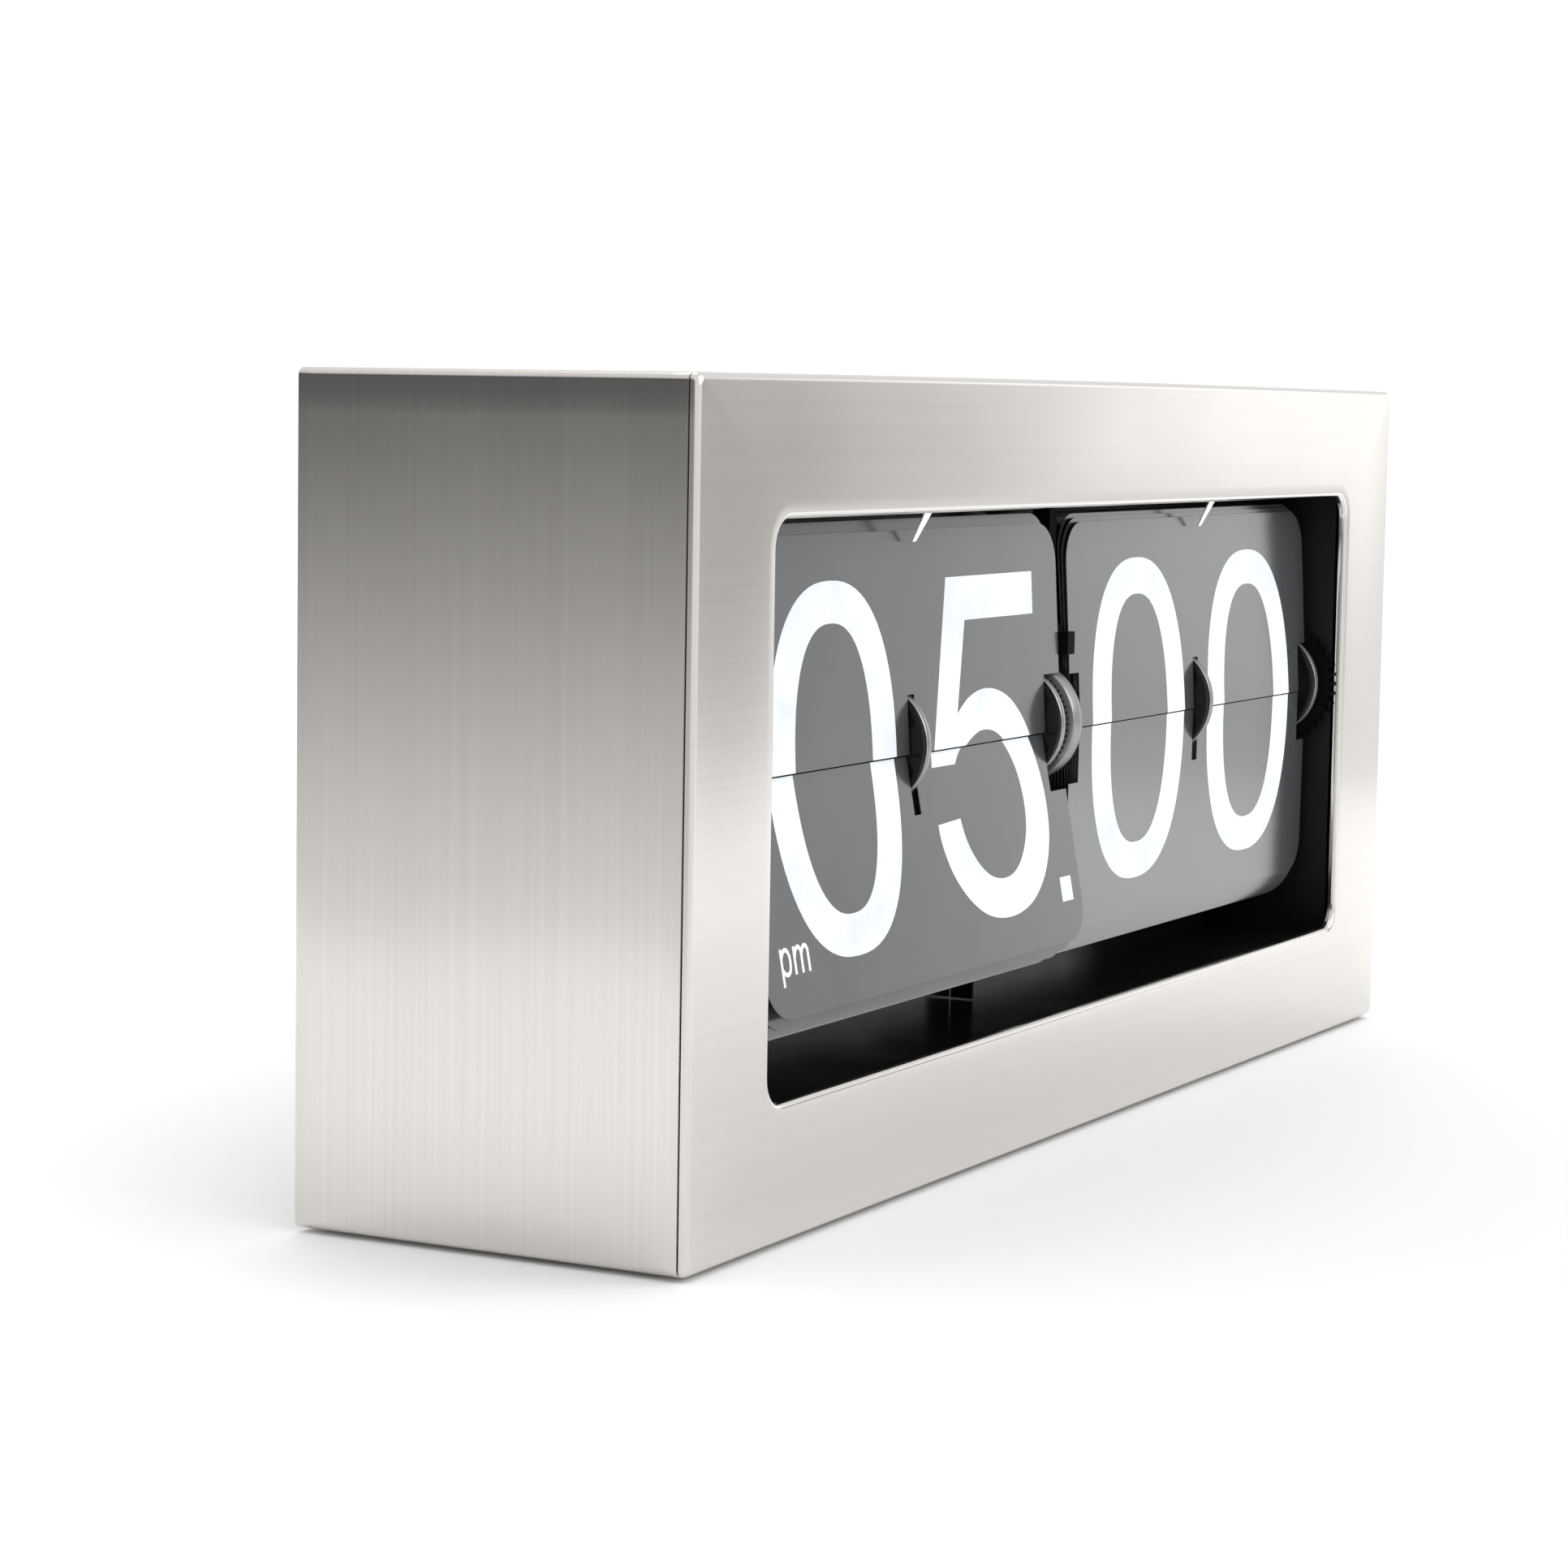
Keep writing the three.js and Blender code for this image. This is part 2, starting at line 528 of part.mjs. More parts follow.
// Behind the held cards the rest lean back evenly, down to the last card of the fan.
function fanStand(drum, index) {
  const stand = leafStand(drum, index);
  if (index < drum.held) return stand;
  const last = leafStand(drum, fanEnd(drum)).lean;
  const share = (index - drum.held) / (fanEnd(drum) - drum.held);
  return { ...stand, lean: drum.fanLean + (last - drum.fanLean) * share };
}

// Past the back of the drum the cards hang from their hinges, each swung a little further forward.
function hangingStand(drum, index) {
  const stand = leafStand(drum, index);
  const end = leafStand(drum, drum.leaves - 1).angle;
  const share = Math.max(0, (stand.angle - PLUMB_END) / (end - PLUMB_END));
  return { ...stand, lean: 180 + (drum.leanEnd - 180) * share };
}

function leafGeometry(drum, cornerSteps = 4) {
  const flat = extrude(leafOutline(drum, cornerSteps), LEAF_THICK);
  return flat.rotateX(Math.PI / 2).translate(0, LEAF_THICK / 2, 0);
}

function placedLeaf(drum, stand, shift = 0, cornerSteps = 4) {
  const matrix = new THREE.Matrix4().makeRotationX(-radians(stand.lean));
  matrix.setPosition(0, stand.d + shift - CASE_DEPTH / 2, stand.z);
  return leafGeometry(drum, cornerSteps).applyMatrix4(matrix);
}

// A thin shell on the hinge circle that strings one group of cards together.
function hingeShell(drum, from, to, shift) {
  const steps = Math.ceil((to - from) / 15);
  const [inner, outer] = [PIN_RADIUS - 0.6, PIN_RADIUS];
  const outline = [
    ...arc(AXLE.d + shift, AXLE.z, outer, 180 - from, 180 - to, steps),
    ...arc(AXLE.d + shift, AXLE.z, inner, 180 - to, 180 - from, steps),
  ];
  const near = LEAF_INNER + (drum.side < 0 ? WIDE_NOTCH.width : NOTCH_WIDTH) + 1;
  const spans = [
    [near, MODULE_CENTRE - SLOT_WIDTH / 2 - 1],
    [MODULE_CENTRE + SLOT_WIDTH / 2 + 1, LEAF_OUTER - NOTCH_WIDTH - 1],
  ];
  return spans.map(([a, b]) => alongX(outline, ...(drum.side < 0 ? [-b, -a] : [a, b])));
}

function leafGroup(drum, standAt, first, last, shift) {
  const leaves = [];
  for (let index = first; index <= last; index += drum.stride) {
    leaves.push(placedLeaf(drum, standAt(drum, index), shift, 2));
  }
  const [from, to] = [standAt(drum, first).angle, standAt(drum, last).angle];
  return joined(...leaves, ...hingeShell(drum, from, to, shift));
}

function addDrumLeaves(name, drum) {
  const upper = leafStand(drum, 0);
  const upperMesh = add(`${name}_leaf_upper`, leafGeometry(drum), "card");
  upperMesh.position.set(0, upper.d - CASE_DEPTH / 2, upper.z);
  upperMesh.rotation.x = -radians(upper.lean);

  const next = leafStand(drum, 1);
  const facing = upper.d + (next.z - upper.z) * Math.tan(radians(upper.lean));
  const standoff = LEAF_THICK + 0.2;
  add(`${name}_leaf_next`, placedLeaf(drum, { ...next, d: facing + standoff }), "card");

  const last = drum.leaves - 1;
  const lowerMesh = add(`${name}_leaf_lower`, leafGeometry(drum), "card");
  const lower = leafStand(drum, last);
  lowerMesh.position.set(0, lower.d - CASE_DEPTH / 2, lower.z);
  lowerMesh.rotation.x = -radians(lower.lean);

  const fanLast = fanEnd(drum);
  const pileFirst = last - 1 - Math.floor((last - 1 - fanLast - 1) / drum.stride) * drum.stride;
  add(`${name}_leaf_fan`, leafGroup(drum, fanStand, 2, fanLast, FAN_SHIFT), "card");
  add(`${name}_leaf_pile`, leafGroup(drum, hangingStand, pileFirst, last - 1, PILE_SHIFT), "card");
}

addDrumLeaves("hour", HOURS);
addDrumLeaves("minute", MINUTES);

// ---- power --------------------------------------------------------------------------------------

const TRAY = { x0: 22, x1: 98, d0: 36.6, d1: 73.6, low: 2.3, wall: 1.5 };

function batteryTray() {
  const { x0, x1, d0, d1, low, wall } = TRAY;
  return joined(
    block(x0, x1, d0, d1, low, low + wall),
    block(x0, x1, d0, d0 + wall, low, 30),
    block(x0, x0 + wall, d0, d1, low, 36),
    block(x1 - wall, x1, d0, d1, low, 36),
  );
}

function batteryCell() {
  const { radius, length, d, z, x0 } = CELL;
  return joined(rod(x0, x0 + length, radius, d, z, 32), rod(x0 + length - 1, x0 + length + 1.5, 4.7, d, z, 20));
}

function plusContact() {
  const { length, d, z, x0 } = CELL;
  const back = TRAY.x1 - TRAY.wall - GAP;
  return joined(
    block(back - 0.6, back, d - 9, d + 9, z - 9, z + 9),
    rod(x0 + length + 1.8, back - 0.3, 3.5, d, z, 16),
  );
}

class CoilCurve extends THREE.Curve {
  getPoint(t, target = new THREE.Vector3()) {
    const turns = 3;
    const radius = 7.5 - 3 * t;
    const angle = 2 * Math.PI * turns * t;
    const x = TRAY.x0 + TRAY.wall + 0.9 + 3.4 * t;
    const y = CELL.d - CASE_DEPTH / 2 + radius * Math.cos(angle);
    return target.set(x, y, CELL.z + radius * Math.sin(angle));
  }
}

function tube(curve, radius, steps, sides) {
  const section = new THREE.Shape(circle(0, 0, radius, sides));
  return new THREE.ExtrudeGeometry(section, { steps, extrudePath: curve, bevelEnabled: false });
}

// A lead from the battery tray, past the back edge of the right end plate, up to the board.
function batteryLead(startX, startZ, lag) {
  const besidePlate = 154.2;
  const route = [
    [startX, 66, startZ], [startX + 12, 70.4, 40 - lag], [128, 71.5, 43 - lag], [149, 71.5, 50 - lag],
    [besidePlate, 71.4, 57 - lag], [besidePlate, 64 - lag, 66], [besidePlate, 46 - lag, 80],
    [besidePlate, 42 - lag, 103.6],
  ];
  return new THREE.CatmullRomCurve3(route.map(([x, d, z]) => new THREE.Vector3(x, d - CASE_DEPTH / 2, z)));
}

add("battery_tray", batteryTray(), "blackPlastic");
add("battery_cell", batteryCell(), "cellWrap");
add("battery_contact_plus", plusContact(), "brass");
add("battery_contact_spring", tube(new CoilCurve(), 0.45, 33, 6), "springSteel");
add("battery_lead_plus", tube(batteryLead(95.8, 36.6, 0), 0.6, 24, 8), "redLead");
add("battery_lead_minus", tube(batteryLead(30, 36.6, -2.5), 0.6, 28, 8), "blackPlastic");
add("drive_board", block(153.4, 155, 24, 58, 104, 134), "board");

export default clock;
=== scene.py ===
import math

import bmesh
import bpy
from mathutils import Matrix, Vector
from mathutils.geometry import tessellate_polygon


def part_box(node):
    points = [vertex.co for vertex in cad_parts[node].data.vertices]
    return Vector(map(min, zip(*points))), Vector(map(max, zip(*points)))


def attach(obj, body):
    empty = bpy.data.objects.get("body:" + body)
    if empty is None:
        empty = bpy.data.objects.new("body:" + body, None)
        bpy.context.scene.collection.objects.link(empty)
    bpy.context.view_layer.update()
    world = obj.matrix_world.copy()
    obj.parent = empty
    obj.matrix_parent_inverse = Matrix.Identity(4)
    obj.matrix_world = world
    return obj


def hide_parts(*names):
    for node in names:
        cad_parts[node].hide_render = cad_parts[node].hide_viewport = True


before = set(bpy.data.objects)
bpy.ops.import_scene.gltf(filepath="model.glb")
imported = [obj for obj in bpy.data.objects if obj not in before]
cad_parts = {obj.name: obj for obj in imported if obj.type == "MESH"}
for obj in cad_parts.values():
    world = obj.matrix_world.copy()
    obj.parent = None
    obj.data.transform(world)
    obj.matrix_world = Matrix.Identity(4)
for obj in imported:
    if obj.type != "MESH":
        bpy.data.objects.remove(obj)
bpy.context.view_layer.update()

# Millimetres here, +Z up, -Y towards the reader. A depth d runs back from the front face.
MM = 0.001


def box(node):
    low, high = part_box(node)
    return low / MM, high / MM


CASE_LOW, CASE_HIGH = box("case_sleeve")
FRONT_Y = box("front_bezel")[0].y
BACK_D = CASE_HIGH.y - FRONT_Y
HALF_WIDTH = CASE_HIGH.x
AXLE = (box("main_axle")[0] + box("main_axle")[1]) / 2
AXLE_D = AXLE.y - FRONT_Y
AXLE_Z = AXLE.z


# ---- materials ----------------------------------------------------------------------------------

class Finish:
    """A procedural material: a base colour, worn and grained by noise in the part's own space."""

    def __init__(self, name, colour, metallic=0.0, roughness=0.4, specular=0.5):
        self.material = bpy.data.materials.new(name)
        self.material.use_nodes = True
        self.nodes = self.material.node_tree.nodes
        self.links = self.material.node_tree.links
        self.shader = self.nodes["Principled BSDF"]
        self.shader.inputs["Base Color"].default_value = (*colour, 1)
        self.shader.inputs["Metallic"].default_value = metallic
        self.shader.inputs["Roughness"].default_value = roughness
        self.shader.inputs["Specular IOR Level"].default_value = specular
        self.colour = colour
        self.roughness = roughness
        self.place = self.nodes.new("ShaderNodeTexCoord").outputs["Object"]
        self.bump_from = None

    def noise(self, scale, detail=3.0, rough=0.55):
        mapping = self.nodes.new("ShaderNodeMapping")
        mapping.inputs["Scale"].default_value = scale
        self.links.new(self.place, mapping.inputs["Vector"])
        noise = self.nodes.new("ShaderNodeTexNoise")
        noise.inputs["Scale"].default_value = 1.0
        noise.inputs["Detail"].default_value = detail
        noise.inputs["Roughness"].default_value = rough
        self.links.new(mapping.outputs["Vector"], noise.inputs["Vector"])
        return noise.outputs["Fac"]

    def ramp(self, source, low, high, from_low=0.3, from_high=0.7):
        node = self.nodes.new("ShaderNodeMapRange")
        node.inputs["From Min"].default_value = from_low
        node.inputs["From Max"].default_value = from_high
        node.inputs["To Min"].default_value = low
        node.inputs["To Max"].default_value = high
        self.links.new(source, node.inputs["Value"])
        return node.outputs["Result"]

    def shade(self, source, depth):
        """Darkens and lightens the base colour by up to `depth`."""
        mix = self.nodes.new("ShaderNodeMix")
        mix.data_type = "RGBA"
        mix.inputs["A"].default_value = (*[c * (1 - depth) for c in self.colour], 1)
        mix.inputs["B"].default_value = (*[min(1, c * (1 + depth)) for c in self.colour], 1)
        self.links.new(self.ramp(source, 0, 1), mix.inputs["Factor"])
        self.links.new(mix.outputs["Result"], self.shader.inputs["Base Color"])
        return self

    def polish(self, source, spread):
        low, high = self.roughness - spread, self.roughness + spread
        self.links.new(self.ramp(source, low, high), self.shader.inputs["Roughness"])
        return self

    def bump(self, source, height, strength=1.0):
        node = self.nodes.new("ShaderNodeBump")
        node.inputs["Strength"].default_value = strength
        node.inputs["Distance"].default_value = height * MM
        self.links.new(source, node.inputs["Height"])
        if self.bump_from is not None:
            self.links.new(self.bump_from, node.inputs["Normal"])
        self.bump_from = node.outputs["Normal"]
        self.links.new(self.bump_from, self.shader.inputs["Normal"])
        return self

    def brushed(self, across, amount):
        """Stretches reflections along `across`, square to the grain."""
        node = self.nodes.new("ShaderNodeCombineXYZ")
        for socket, value in zip(node.inputs, across):
            socket.default_value = value
        self.links.new(node.outputs["Vector"], self.shader.inputs["Tangent"])
        self.shader.inputs["Anisotropic"].default_value = amount
        return self


STEEL_COLOUR = (0.665, 0.642, 0.612)
STEEL_ROUGHNESS = 0.16
STEEL_STRETCH = 0.55


def brushed_steel(name, grain_scale, band_scale, across, band_depth):
    """Steel brushed one way: a fine grain, broad bands, and a faint cloud in its polish."""
    steel = Finish(name, STEEL_COLOUR, metallic=1.0, roughness=STEEL_ROUGHNESS)
    grain = steel.noise(grain_scale, detail=4.0, rough=0.7)
    band = steel.noise(band_scale, detail=2.0)
    cloud = steel.noise((18, 18, 18), detail=2.0)
    steel.shade(band, band_depth).polish(cloud, 0.02)
    steel.bump(grain, 0.004, 0.45).bump(band, 0.006, 0.12)
    return steel.brushed(across, STEEL_STRETCH).material


def plastic(name, colour, roughness, specular=0.5, texture=0.01, grain=2600, ior=1.5, wear_depth=0.12):
    """A moulded or printed surface: a fine texture, and worn patches in its colour and polish."""
    finish = Finish(name, colour, roughness=roughness, specular=specular)
    finish.shader.inputs["IOR"].default_value = ior
    wear = finish.noise((60, 60, 60), detail=4.0)
    fine = finish.noise((grain, grain, grain), detail=2.0)
    finish.shade(wear, wear_depth).polish(wear, wear_depth / 3).bump(fine, texture, 0.4)
    return finish.material


def metal(name, colour, roughness):
    """Plain drawn metal: fine lines along one way, and handling marks."""
    finish = Finish(name, colour, metallic=1.0, roughness=roughness)
    wear = finish.noise((90, 90, 90), detail=4.0)
    fine = finish.noise((3000, 500, 500), detail=3.0)
    finish.shade(wear, 0.08).polish(wear, 0.05).bump(fine, 0.003, 0.4)
    return finish.material


STEEL_SLEEVE = brushed_steel("steel_sleeve", (22, 3600, 22), (5, 900, 5), (0, 1, 0), 0.03)
STEEL_BEZEL = brushed_steel("steel_bezel", (16, 3600, 3600), (4, 900, 900), (0, 0, 1), 0.015)
BLACK = plastic("black_moulding", (0.007, 0.007, 0.0075), 0.42, specular=0.25)
GLOSS_BLACK = plastic("black_gloss", (0.008, 0.008, 0.009), 0.16, texture=0.002)
COVER_BLACK = plastic("black_cover", (0.022, 0.022, 0.023), 0.5, texture=0.03, grain=1400)
CARD = plastic("card_grey", (0.058, 0.060, 0.064), 0.18, texture=0.0012, ior=2.3, wear_depth=0.03)
INK = plastic("ink_white", (0.73, 0.766, 0.795), 0.55, texture=0.002)
DRUM = plastic("drum_dark", (0.010, 0.010, 0.011), 0.22, texture=0.002, wear_depth=0.05)
# RIM is lighter than DRUM: a painted highlight for the bright surroundings that the glossy rims reflect
RIM = plastic("drum_rim_painted_highlight", (0.13, 0.13, 0.13), 0.28, texture=0.002, ior=2.3, wear_depth=0.06)
# SHADOW_BLACK is painted shade: parts that sit in shadow take it in place of their own colour
SHADOW_BLACK = plastic("painted_shadow_black", (0.004, 0.004, 0.004), 0.7, specular=0.05)
GEAR = plastic("gear_acetal", (0.72, 0.68, 0.58), 0.45)
SPRING = metal("spring_steel", (0.86, 0.85, 0.83), 0.24)
RUBBER = plastic("rubber_black", (0.02, 0.02, 0.02), 0.85, texture=0.04, grain=900)
BRASS = metal("brass_plain", (0.72, 0.55, 0.24), 0.28)
WRAP = plastic("cell_blue", (0.03, 0.10, 0.24), 0.3)
BOARD = plastic("board_green", (0.02, 0.12, 0.045), 0.4, texture=0.015, grain=700)
RED = plastic("lead_red", (0.42, 0.02, 0.02), 0.4)


# ---- mesh helpers -------------------------------------------------------------------------------

def new_object(name, points, faces, material, body, replaces, smooth=35):
    """A piece from points in millimetres; edges sharper than `smooth` degrees stay sharp."""
    mesh = bpy.data.meshes.new(name)
    mesh.from_pydata([(x * MM, y * MM, z * MM) for x, y, z in points], [], faces)
    mesh.update()
    bm = bmesh.new()
    bm.from_mesh(mesh)
    bmesh.ops.recalc_face_normals(bm, faces=bm.faces)
    bm.to_mesh(mesh)
    bm.free()
    for polygon in mesh.polygons:
        polygon.use_smooth = True
    mesh.set_sharp_from_angle(angle=math.radians(smooth))
    piece = bpy.data.objects.new(name, mesh)
    bpy.context.scene.collection.objects.link(piece)
    mesh.materials.append(material)
    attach(piece, body)
    if replaces:
        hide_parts(replaces)
    return piece


class Shape:
    """Points and faces of one piece, gathered from several simple solids."""

    def __init__(self):
        self.points = []
        self.faces = []

    def add(self, points, faces):
        start = len(self.points)
        self.points += [tuple(p) for p in points]
        self.faces += [tuple(i + start for i in face) for face in faces]
        return self

    def piece(self, name, material, body, replaces, slot, smooth=35):
        return new_object(name, self.points, self.faces, material, body, replaces, smooth)


def loft(rings, closed=True):
    """Faces between rings of equally many points. A closed loft joins the last ring to the first."""
    count = len(rings[0])
    points = [p for ring in rings for p in ring]
    faces = []
    for k in range(len(rings) if closed else len(rings) - 1):
        a, b = k * count, (k + 1) % len(rings) * count
        for i in range(count):
            j = (i + 1) % count
            faces.append((a + i, a + j, b + j, b + i))
    return points, faces


def lathe(profile, first, second, steps=96, axis="x"):
    """Turns (along, radius) pairs about an axis.

    The axis passes through depth and height for x, x and height for y, and x and y for z.
    """
    rings = []
    for along, radius in profile:
        ring = []
        for i in range(steps):
            a = 2 * math.pi * i / steps
            u, v = first + radius * math.cos(a), second + radius * math.sin(a)
            if axis == "x":
                ring.append((along, u + FRONT_Y, v))
            elif axis == "y":
                ring.append((u, along + FRONT_Y, v))
            else:
                ring.append((u, v, along))
        rings.append(ring)
    points, faces = loft(rings, closed=False)
    for ring, reverse in ((0, True), (len(rings) - 1, False)):
        face = [ring * steps + i for i in range(steps)]
        if profile[ring][1] > 0:
            faces.append(tuple(reversed(face)) if reverse else tuple(face))
    return points, faces


def ring_lathe(profile, d, z, steps=96):
    """A turned ring whose profile closes on itself round a bore."""
    angles = [2 * math.pi * i / steps for i in range(steps)]
    rings = []
    for along, radius in profile:
        circle = [(d + FRONT_Y + radius * math.cos(a), z + radius * math.sin(a)) for a in angles]
        rings.append([(along, y, height) for y, height in circle])
    return loft(rings, closed=True)


def rounded_ring(x0, x1, z0, z1, radius, corner_steps=8, side_steps=12):
    """Anticlockwise (x, z) points of a rounded rectangle, starting at the lower right corner."""
    corners = [
        (x1 - radius, z0 + radius, -90), (x1 - radius, z1 - radius, 0),
        (x0 + radius, z1 - radius, 90), (x0 + radius, z0 + radius, 180),
    ]
    points = []
    for k, (cx, cz, start) in enumerate(corners):
        for i in range(corner_steps + 1):
            a = math.radians(start + 90 * i / corner_steps)
            points.append((cx + radius * math.cos(a), cz + radius * math.sin(a)))
        nx, nz, begin = corners[(k + 1) % 4]
        a = math.radians(begin)
        end = (nx + radius * math.cos(a), nz + radius * math.sin(a))
        last = points[-1]
        for i in range(1, side_steps):
            t = i / side_steps
            points.append((last[0] + (end[0] - last[0]) * t, last[1] + (end[1] - last[1]) * t))
    return points


def prism(outline, low, high, place):
    """An outline extruded between two offsets; place(u, v, w) gives each point's position."""
    count = len(outline)
    points = [place(u, v, low) for u, v in outline] + [place(u, v, high) for u, v in outline]
    triangles = tessellate_polygon([[Vector((u, v, 0)) for u, v in outline]])
    faces = [tuple(reversed(t)) for t in triangles] + [tuple(i + count for i in t) for t in triangles]
    faces += [(i, (i + 1) % count, (i + 1) % count + count, i + count) for i in range(count)]
    return points, faces


# ---- case ---------------------------------------------------------------------------------------

CROWN = 0.45  # how far the top wall falls from its middle to its ends
SHEET = 0.8  # the sleeve's thickness
FOLD = 1.6  # outside radius of the folded corners
SOFT_EDGE = ((0.25, 0.0), (0.07, 0.08), (0.0, 0.25))  # (inset, setback) pairs round a cut edge
END_BAND = 4.0  # from each end of the sleeve to the ring where it runs plain


def crowned(ring, d):
    """The points of an (x, z) ring at depth d, with the top wall slightly crowned."""
    middle = (CASE_LOW.z + CASE_HIGH.z) / 2
    points = []
    for x, z in ring:
        drop = CROWN * (x / HALF_WIDTH) ** 2 if z > middle else 0.0
        points.append((x, d + FRONT_Y, z - drop * (z - middle) / (CASE_HIGH.z - middle)))
    return points


def case_ring(inset, d, radius=None):
    """The case's outline, moved inwards by `inset`."""
    r = max(0.25, FOLD - inset) if radius is None else radius
    ring = rounded_ring(
        -HALF_WIDTH + inset, HALF_WIDTH - inset, CASE_LOW.z + inset, CASE_HIGH.z - inset, r,
        corner_steps=10, side_steps=24)
    return crowned(ring, d)


SEAM_D = box("case_sleeve")[0].y - FRONT_Y
sleeve_rings = [case_ring(inset, SEAM_D + setback) for inset, setback in SOFT_EDGE]
sleeve_rings += [case_ring(0, d) for d in (SEAM_D + END_BAND, BACK_D / 2, BACK_D - END_BAND)]
sleeve_rings += [case_ring(inset, BACK_D - setback) for inset, setback in reversed(SOFT_EDGE)]
sleeve_rings += [case_ring(SHEET, BACK_D), case_ring(SHEET, SEAM_D)]
Shape().add(*loft(sleeve_rings)).piece("sleeve", STEEL_SLEEVE, "root", "case_sleeve", "case_steel")

WINDOW = {"half": 149.6, "low": 27.0, "high": 133.6, "corner": 5.5}
FACE_D = 1.6  # depth of the back of the bezel's face
LIP_D = 1.9  # depth that the window's folded lip reaches
LIP_THICK = 0.8  # at the lip's back edge
OUTER_FOLD = 1.5
INNER_FOLD = 1.3
FOLD_STEPS = 6
FLAT_MARGIN = 2.0  # flat band kept round the window's fold
BACK_EDGE = ((0.12, 0.02), (0.0, -0.1))  # (inset, setback) pairs round the face's back edge
BEZEL_RIM = {"outside": 1.3, "inside": 2.3, "corner": 0.6, "back": 6.0}  # the rim that enters the sleeve


def window_ring(grow, d):
    """The window's outline, moved outwards by `grow`."""
    ring = rounded_ring(
        -WINDOW["half"] - grow, WINDOW["half"] + grow, WINDOW["low"] - grow, WINDOW["high"] + grow,
        WINDOW["corner"] + grow, corner_steps=10, side_steps=24)
    return [(x, d + FRONT_Y, z) for x, z in ring]


def rim_ring(side, d):
    return case_ring(BEZEL_RIM[side], d, BEZEL_RIM["corner"])


def frame_rings():
    """The bezel's section: outer fold, face, window lip, back of the face, and the rim behind it."""
    rings = [case_ring(inset, FACE_D + setback) for inset, setback in BACK_EDGE]
    for i in range(1, FOLD_STEPS + 1):
        a = math.pi / 2 * i / FOLD_STEPS
        rings.append(case_ring(OUTER_FOLD * (1 - math.cos(a)), OUTER_FOLD * (1 - math.sin(a)), FOLD))
    rings.append(window_ring(INNER_FOLD + FLAT_MARGIN, 0))
    for i in range(FOLD_STEPS + 1):
        a = math.pi / 2 * i / FOLD_STEPS
        rings.append(window_ring(INNER_FOLD * (1 - math.sin(a)), INNER_FOLD * (1 - math.cos(a))))
    rings += [window_ring(0, LIP_D), window_ring(LIP_THICK, LIP_D), window_ring(LIP_THICK + 0.2, FACE_D)]
    rings += [rim_ring("inside", FACE_D), rim_ring("inside", BEZEL_RIM["back"])]
    rings += [rim_ring("outside", BEZEL_RIM["back"]), rim_ring("outside", FACE_D)]
    return rings


Shape().add(*loft(frame_rings())).piece("bezel", STEEL_BEZEL, "root", "front_bezel", "case_steel", 50)


# ---- cards --------------------------------------------------------------------------------------

PIN_RADIUS = 8.6  # from the axle to the cards' hinges
LEAF_HEIGHT = 44.3
LEAF_CORNER = 8.5
LEAF_OUTER = 147.5  # from the clock's middle to a card's outer end
LEAF_INNER = 3.0
CENTRE = (LEAF_OUTER + LEAF_INNER) / 2
SLOT_HALF = 1.5  # half the width of a card's middle slot
HALF_THICK = 0.12  # half a front card's thickness
LEAN_START = 3.3  # degrees that the front upper card leans back
LEAN_EASE = 0.12  # how far the lean lags at the front of the fan
NEXT_SETBACK = 0.5  # from the front upper card to the one behind
FAN_SHIFT = 1.1  # how far back the fan and the pile stand from the front cards
PILE_SHIFT = 0.25
PLUMB_END = 220  # degrees round the drum up to which the hanging cards are plumb

# drop: how far the upper halves of the digits sit low
# pin: the front hinge's place round the drum, in degrees above the axle
# edge: how far a card reaches past its hinge
# end: the lean of the front lower card
# notch: width and depth of the left notch and of the right one
# held, fan_lean, fan_last: the first card that leans in the fan, its lean, and the fan's last card
# thin: half the thickness of a stacked card
HOURS = {
    "name": "hour", "side": -1, "drop": 0.5, "count": 24, "pin": -4.6, "edge": 0.9, "end": 190.6,
    "notch": ((5, 11.8), (8, 12.3)), "held": 2, "fan_lean": 19, "fan_last": 13, "thin": 0.15,
}
MINUTES = {
    "name": "minute", "side": 1, "drop": 0.1, "count": 60, "pin": -9.1, "edge": 0.3, "end": 179.5,
    "notch": ((5, 11.8), (5, 11.8)), "held": 3, "fan_lean": 13, "fan_last": 33, "thin": 0.11,
}


def leaf_outline(drum, steps=12):
    """A card seen from the front, its hinge at 0: two end notches, a middle slot, round top corners."""
    left, right = (-LEAF_OUTER, -LEAF_INNER) if drum["side"] < 0 else (LEAF_INNER, LEAF_OUTER)
    centre = drum["side"] * CENTRE
    (left_wide, left_deep), (right_wide, right_deep) = drum["notch"]
    low, high = -drum["edge"], LEAF_HEIGHT - drum["edge"]
    deep = low + left_deep
    points = [(left, deep), (left + left_wide, deep), (left + left_wide, low)]
    points += [(centre - SLOT_HALF, low), (centre - SLOT_HALF, deep)]
    points += [(centre + SLOT_HALF, deep), (centre + SLOT_HALF, low)]
    points += [(right - right_wide, low), (right - right_wide, low + right_deep)]
    points += [(right, low + right_deep)]
    for cx, start in ((right - LEAF_CORNER, 0), (left + LEAF_CORNER, 90)):
        for i in range(steps + 1):
            a = math.radians(start + 90 * i / steps)
            points.append((cx + LEAF_CORNER * math.cos(a), high - LEAF_CORNER + LEAF_CORNER * math.sin(a)))
    return points


def leaf_stand(drum, index):
    """Depth, height and lean of a card's hinge, counted from the front upper card round the drum."""
    t = index / (drum["count"] - 1)
    eased = t - LEAN_EASE * math.sin(2 * math.pi * t)
    angle = math.radians(drum["pin"] + 360 / drum["count"] * index)
    return (AXLE_D - PIN_RADIUS * math.cos(angle), AXLE_Z + PIN_RADIUS * math.sin(angle),
            LEAN_START + (drum["end"] - LEAN_START) * eased)


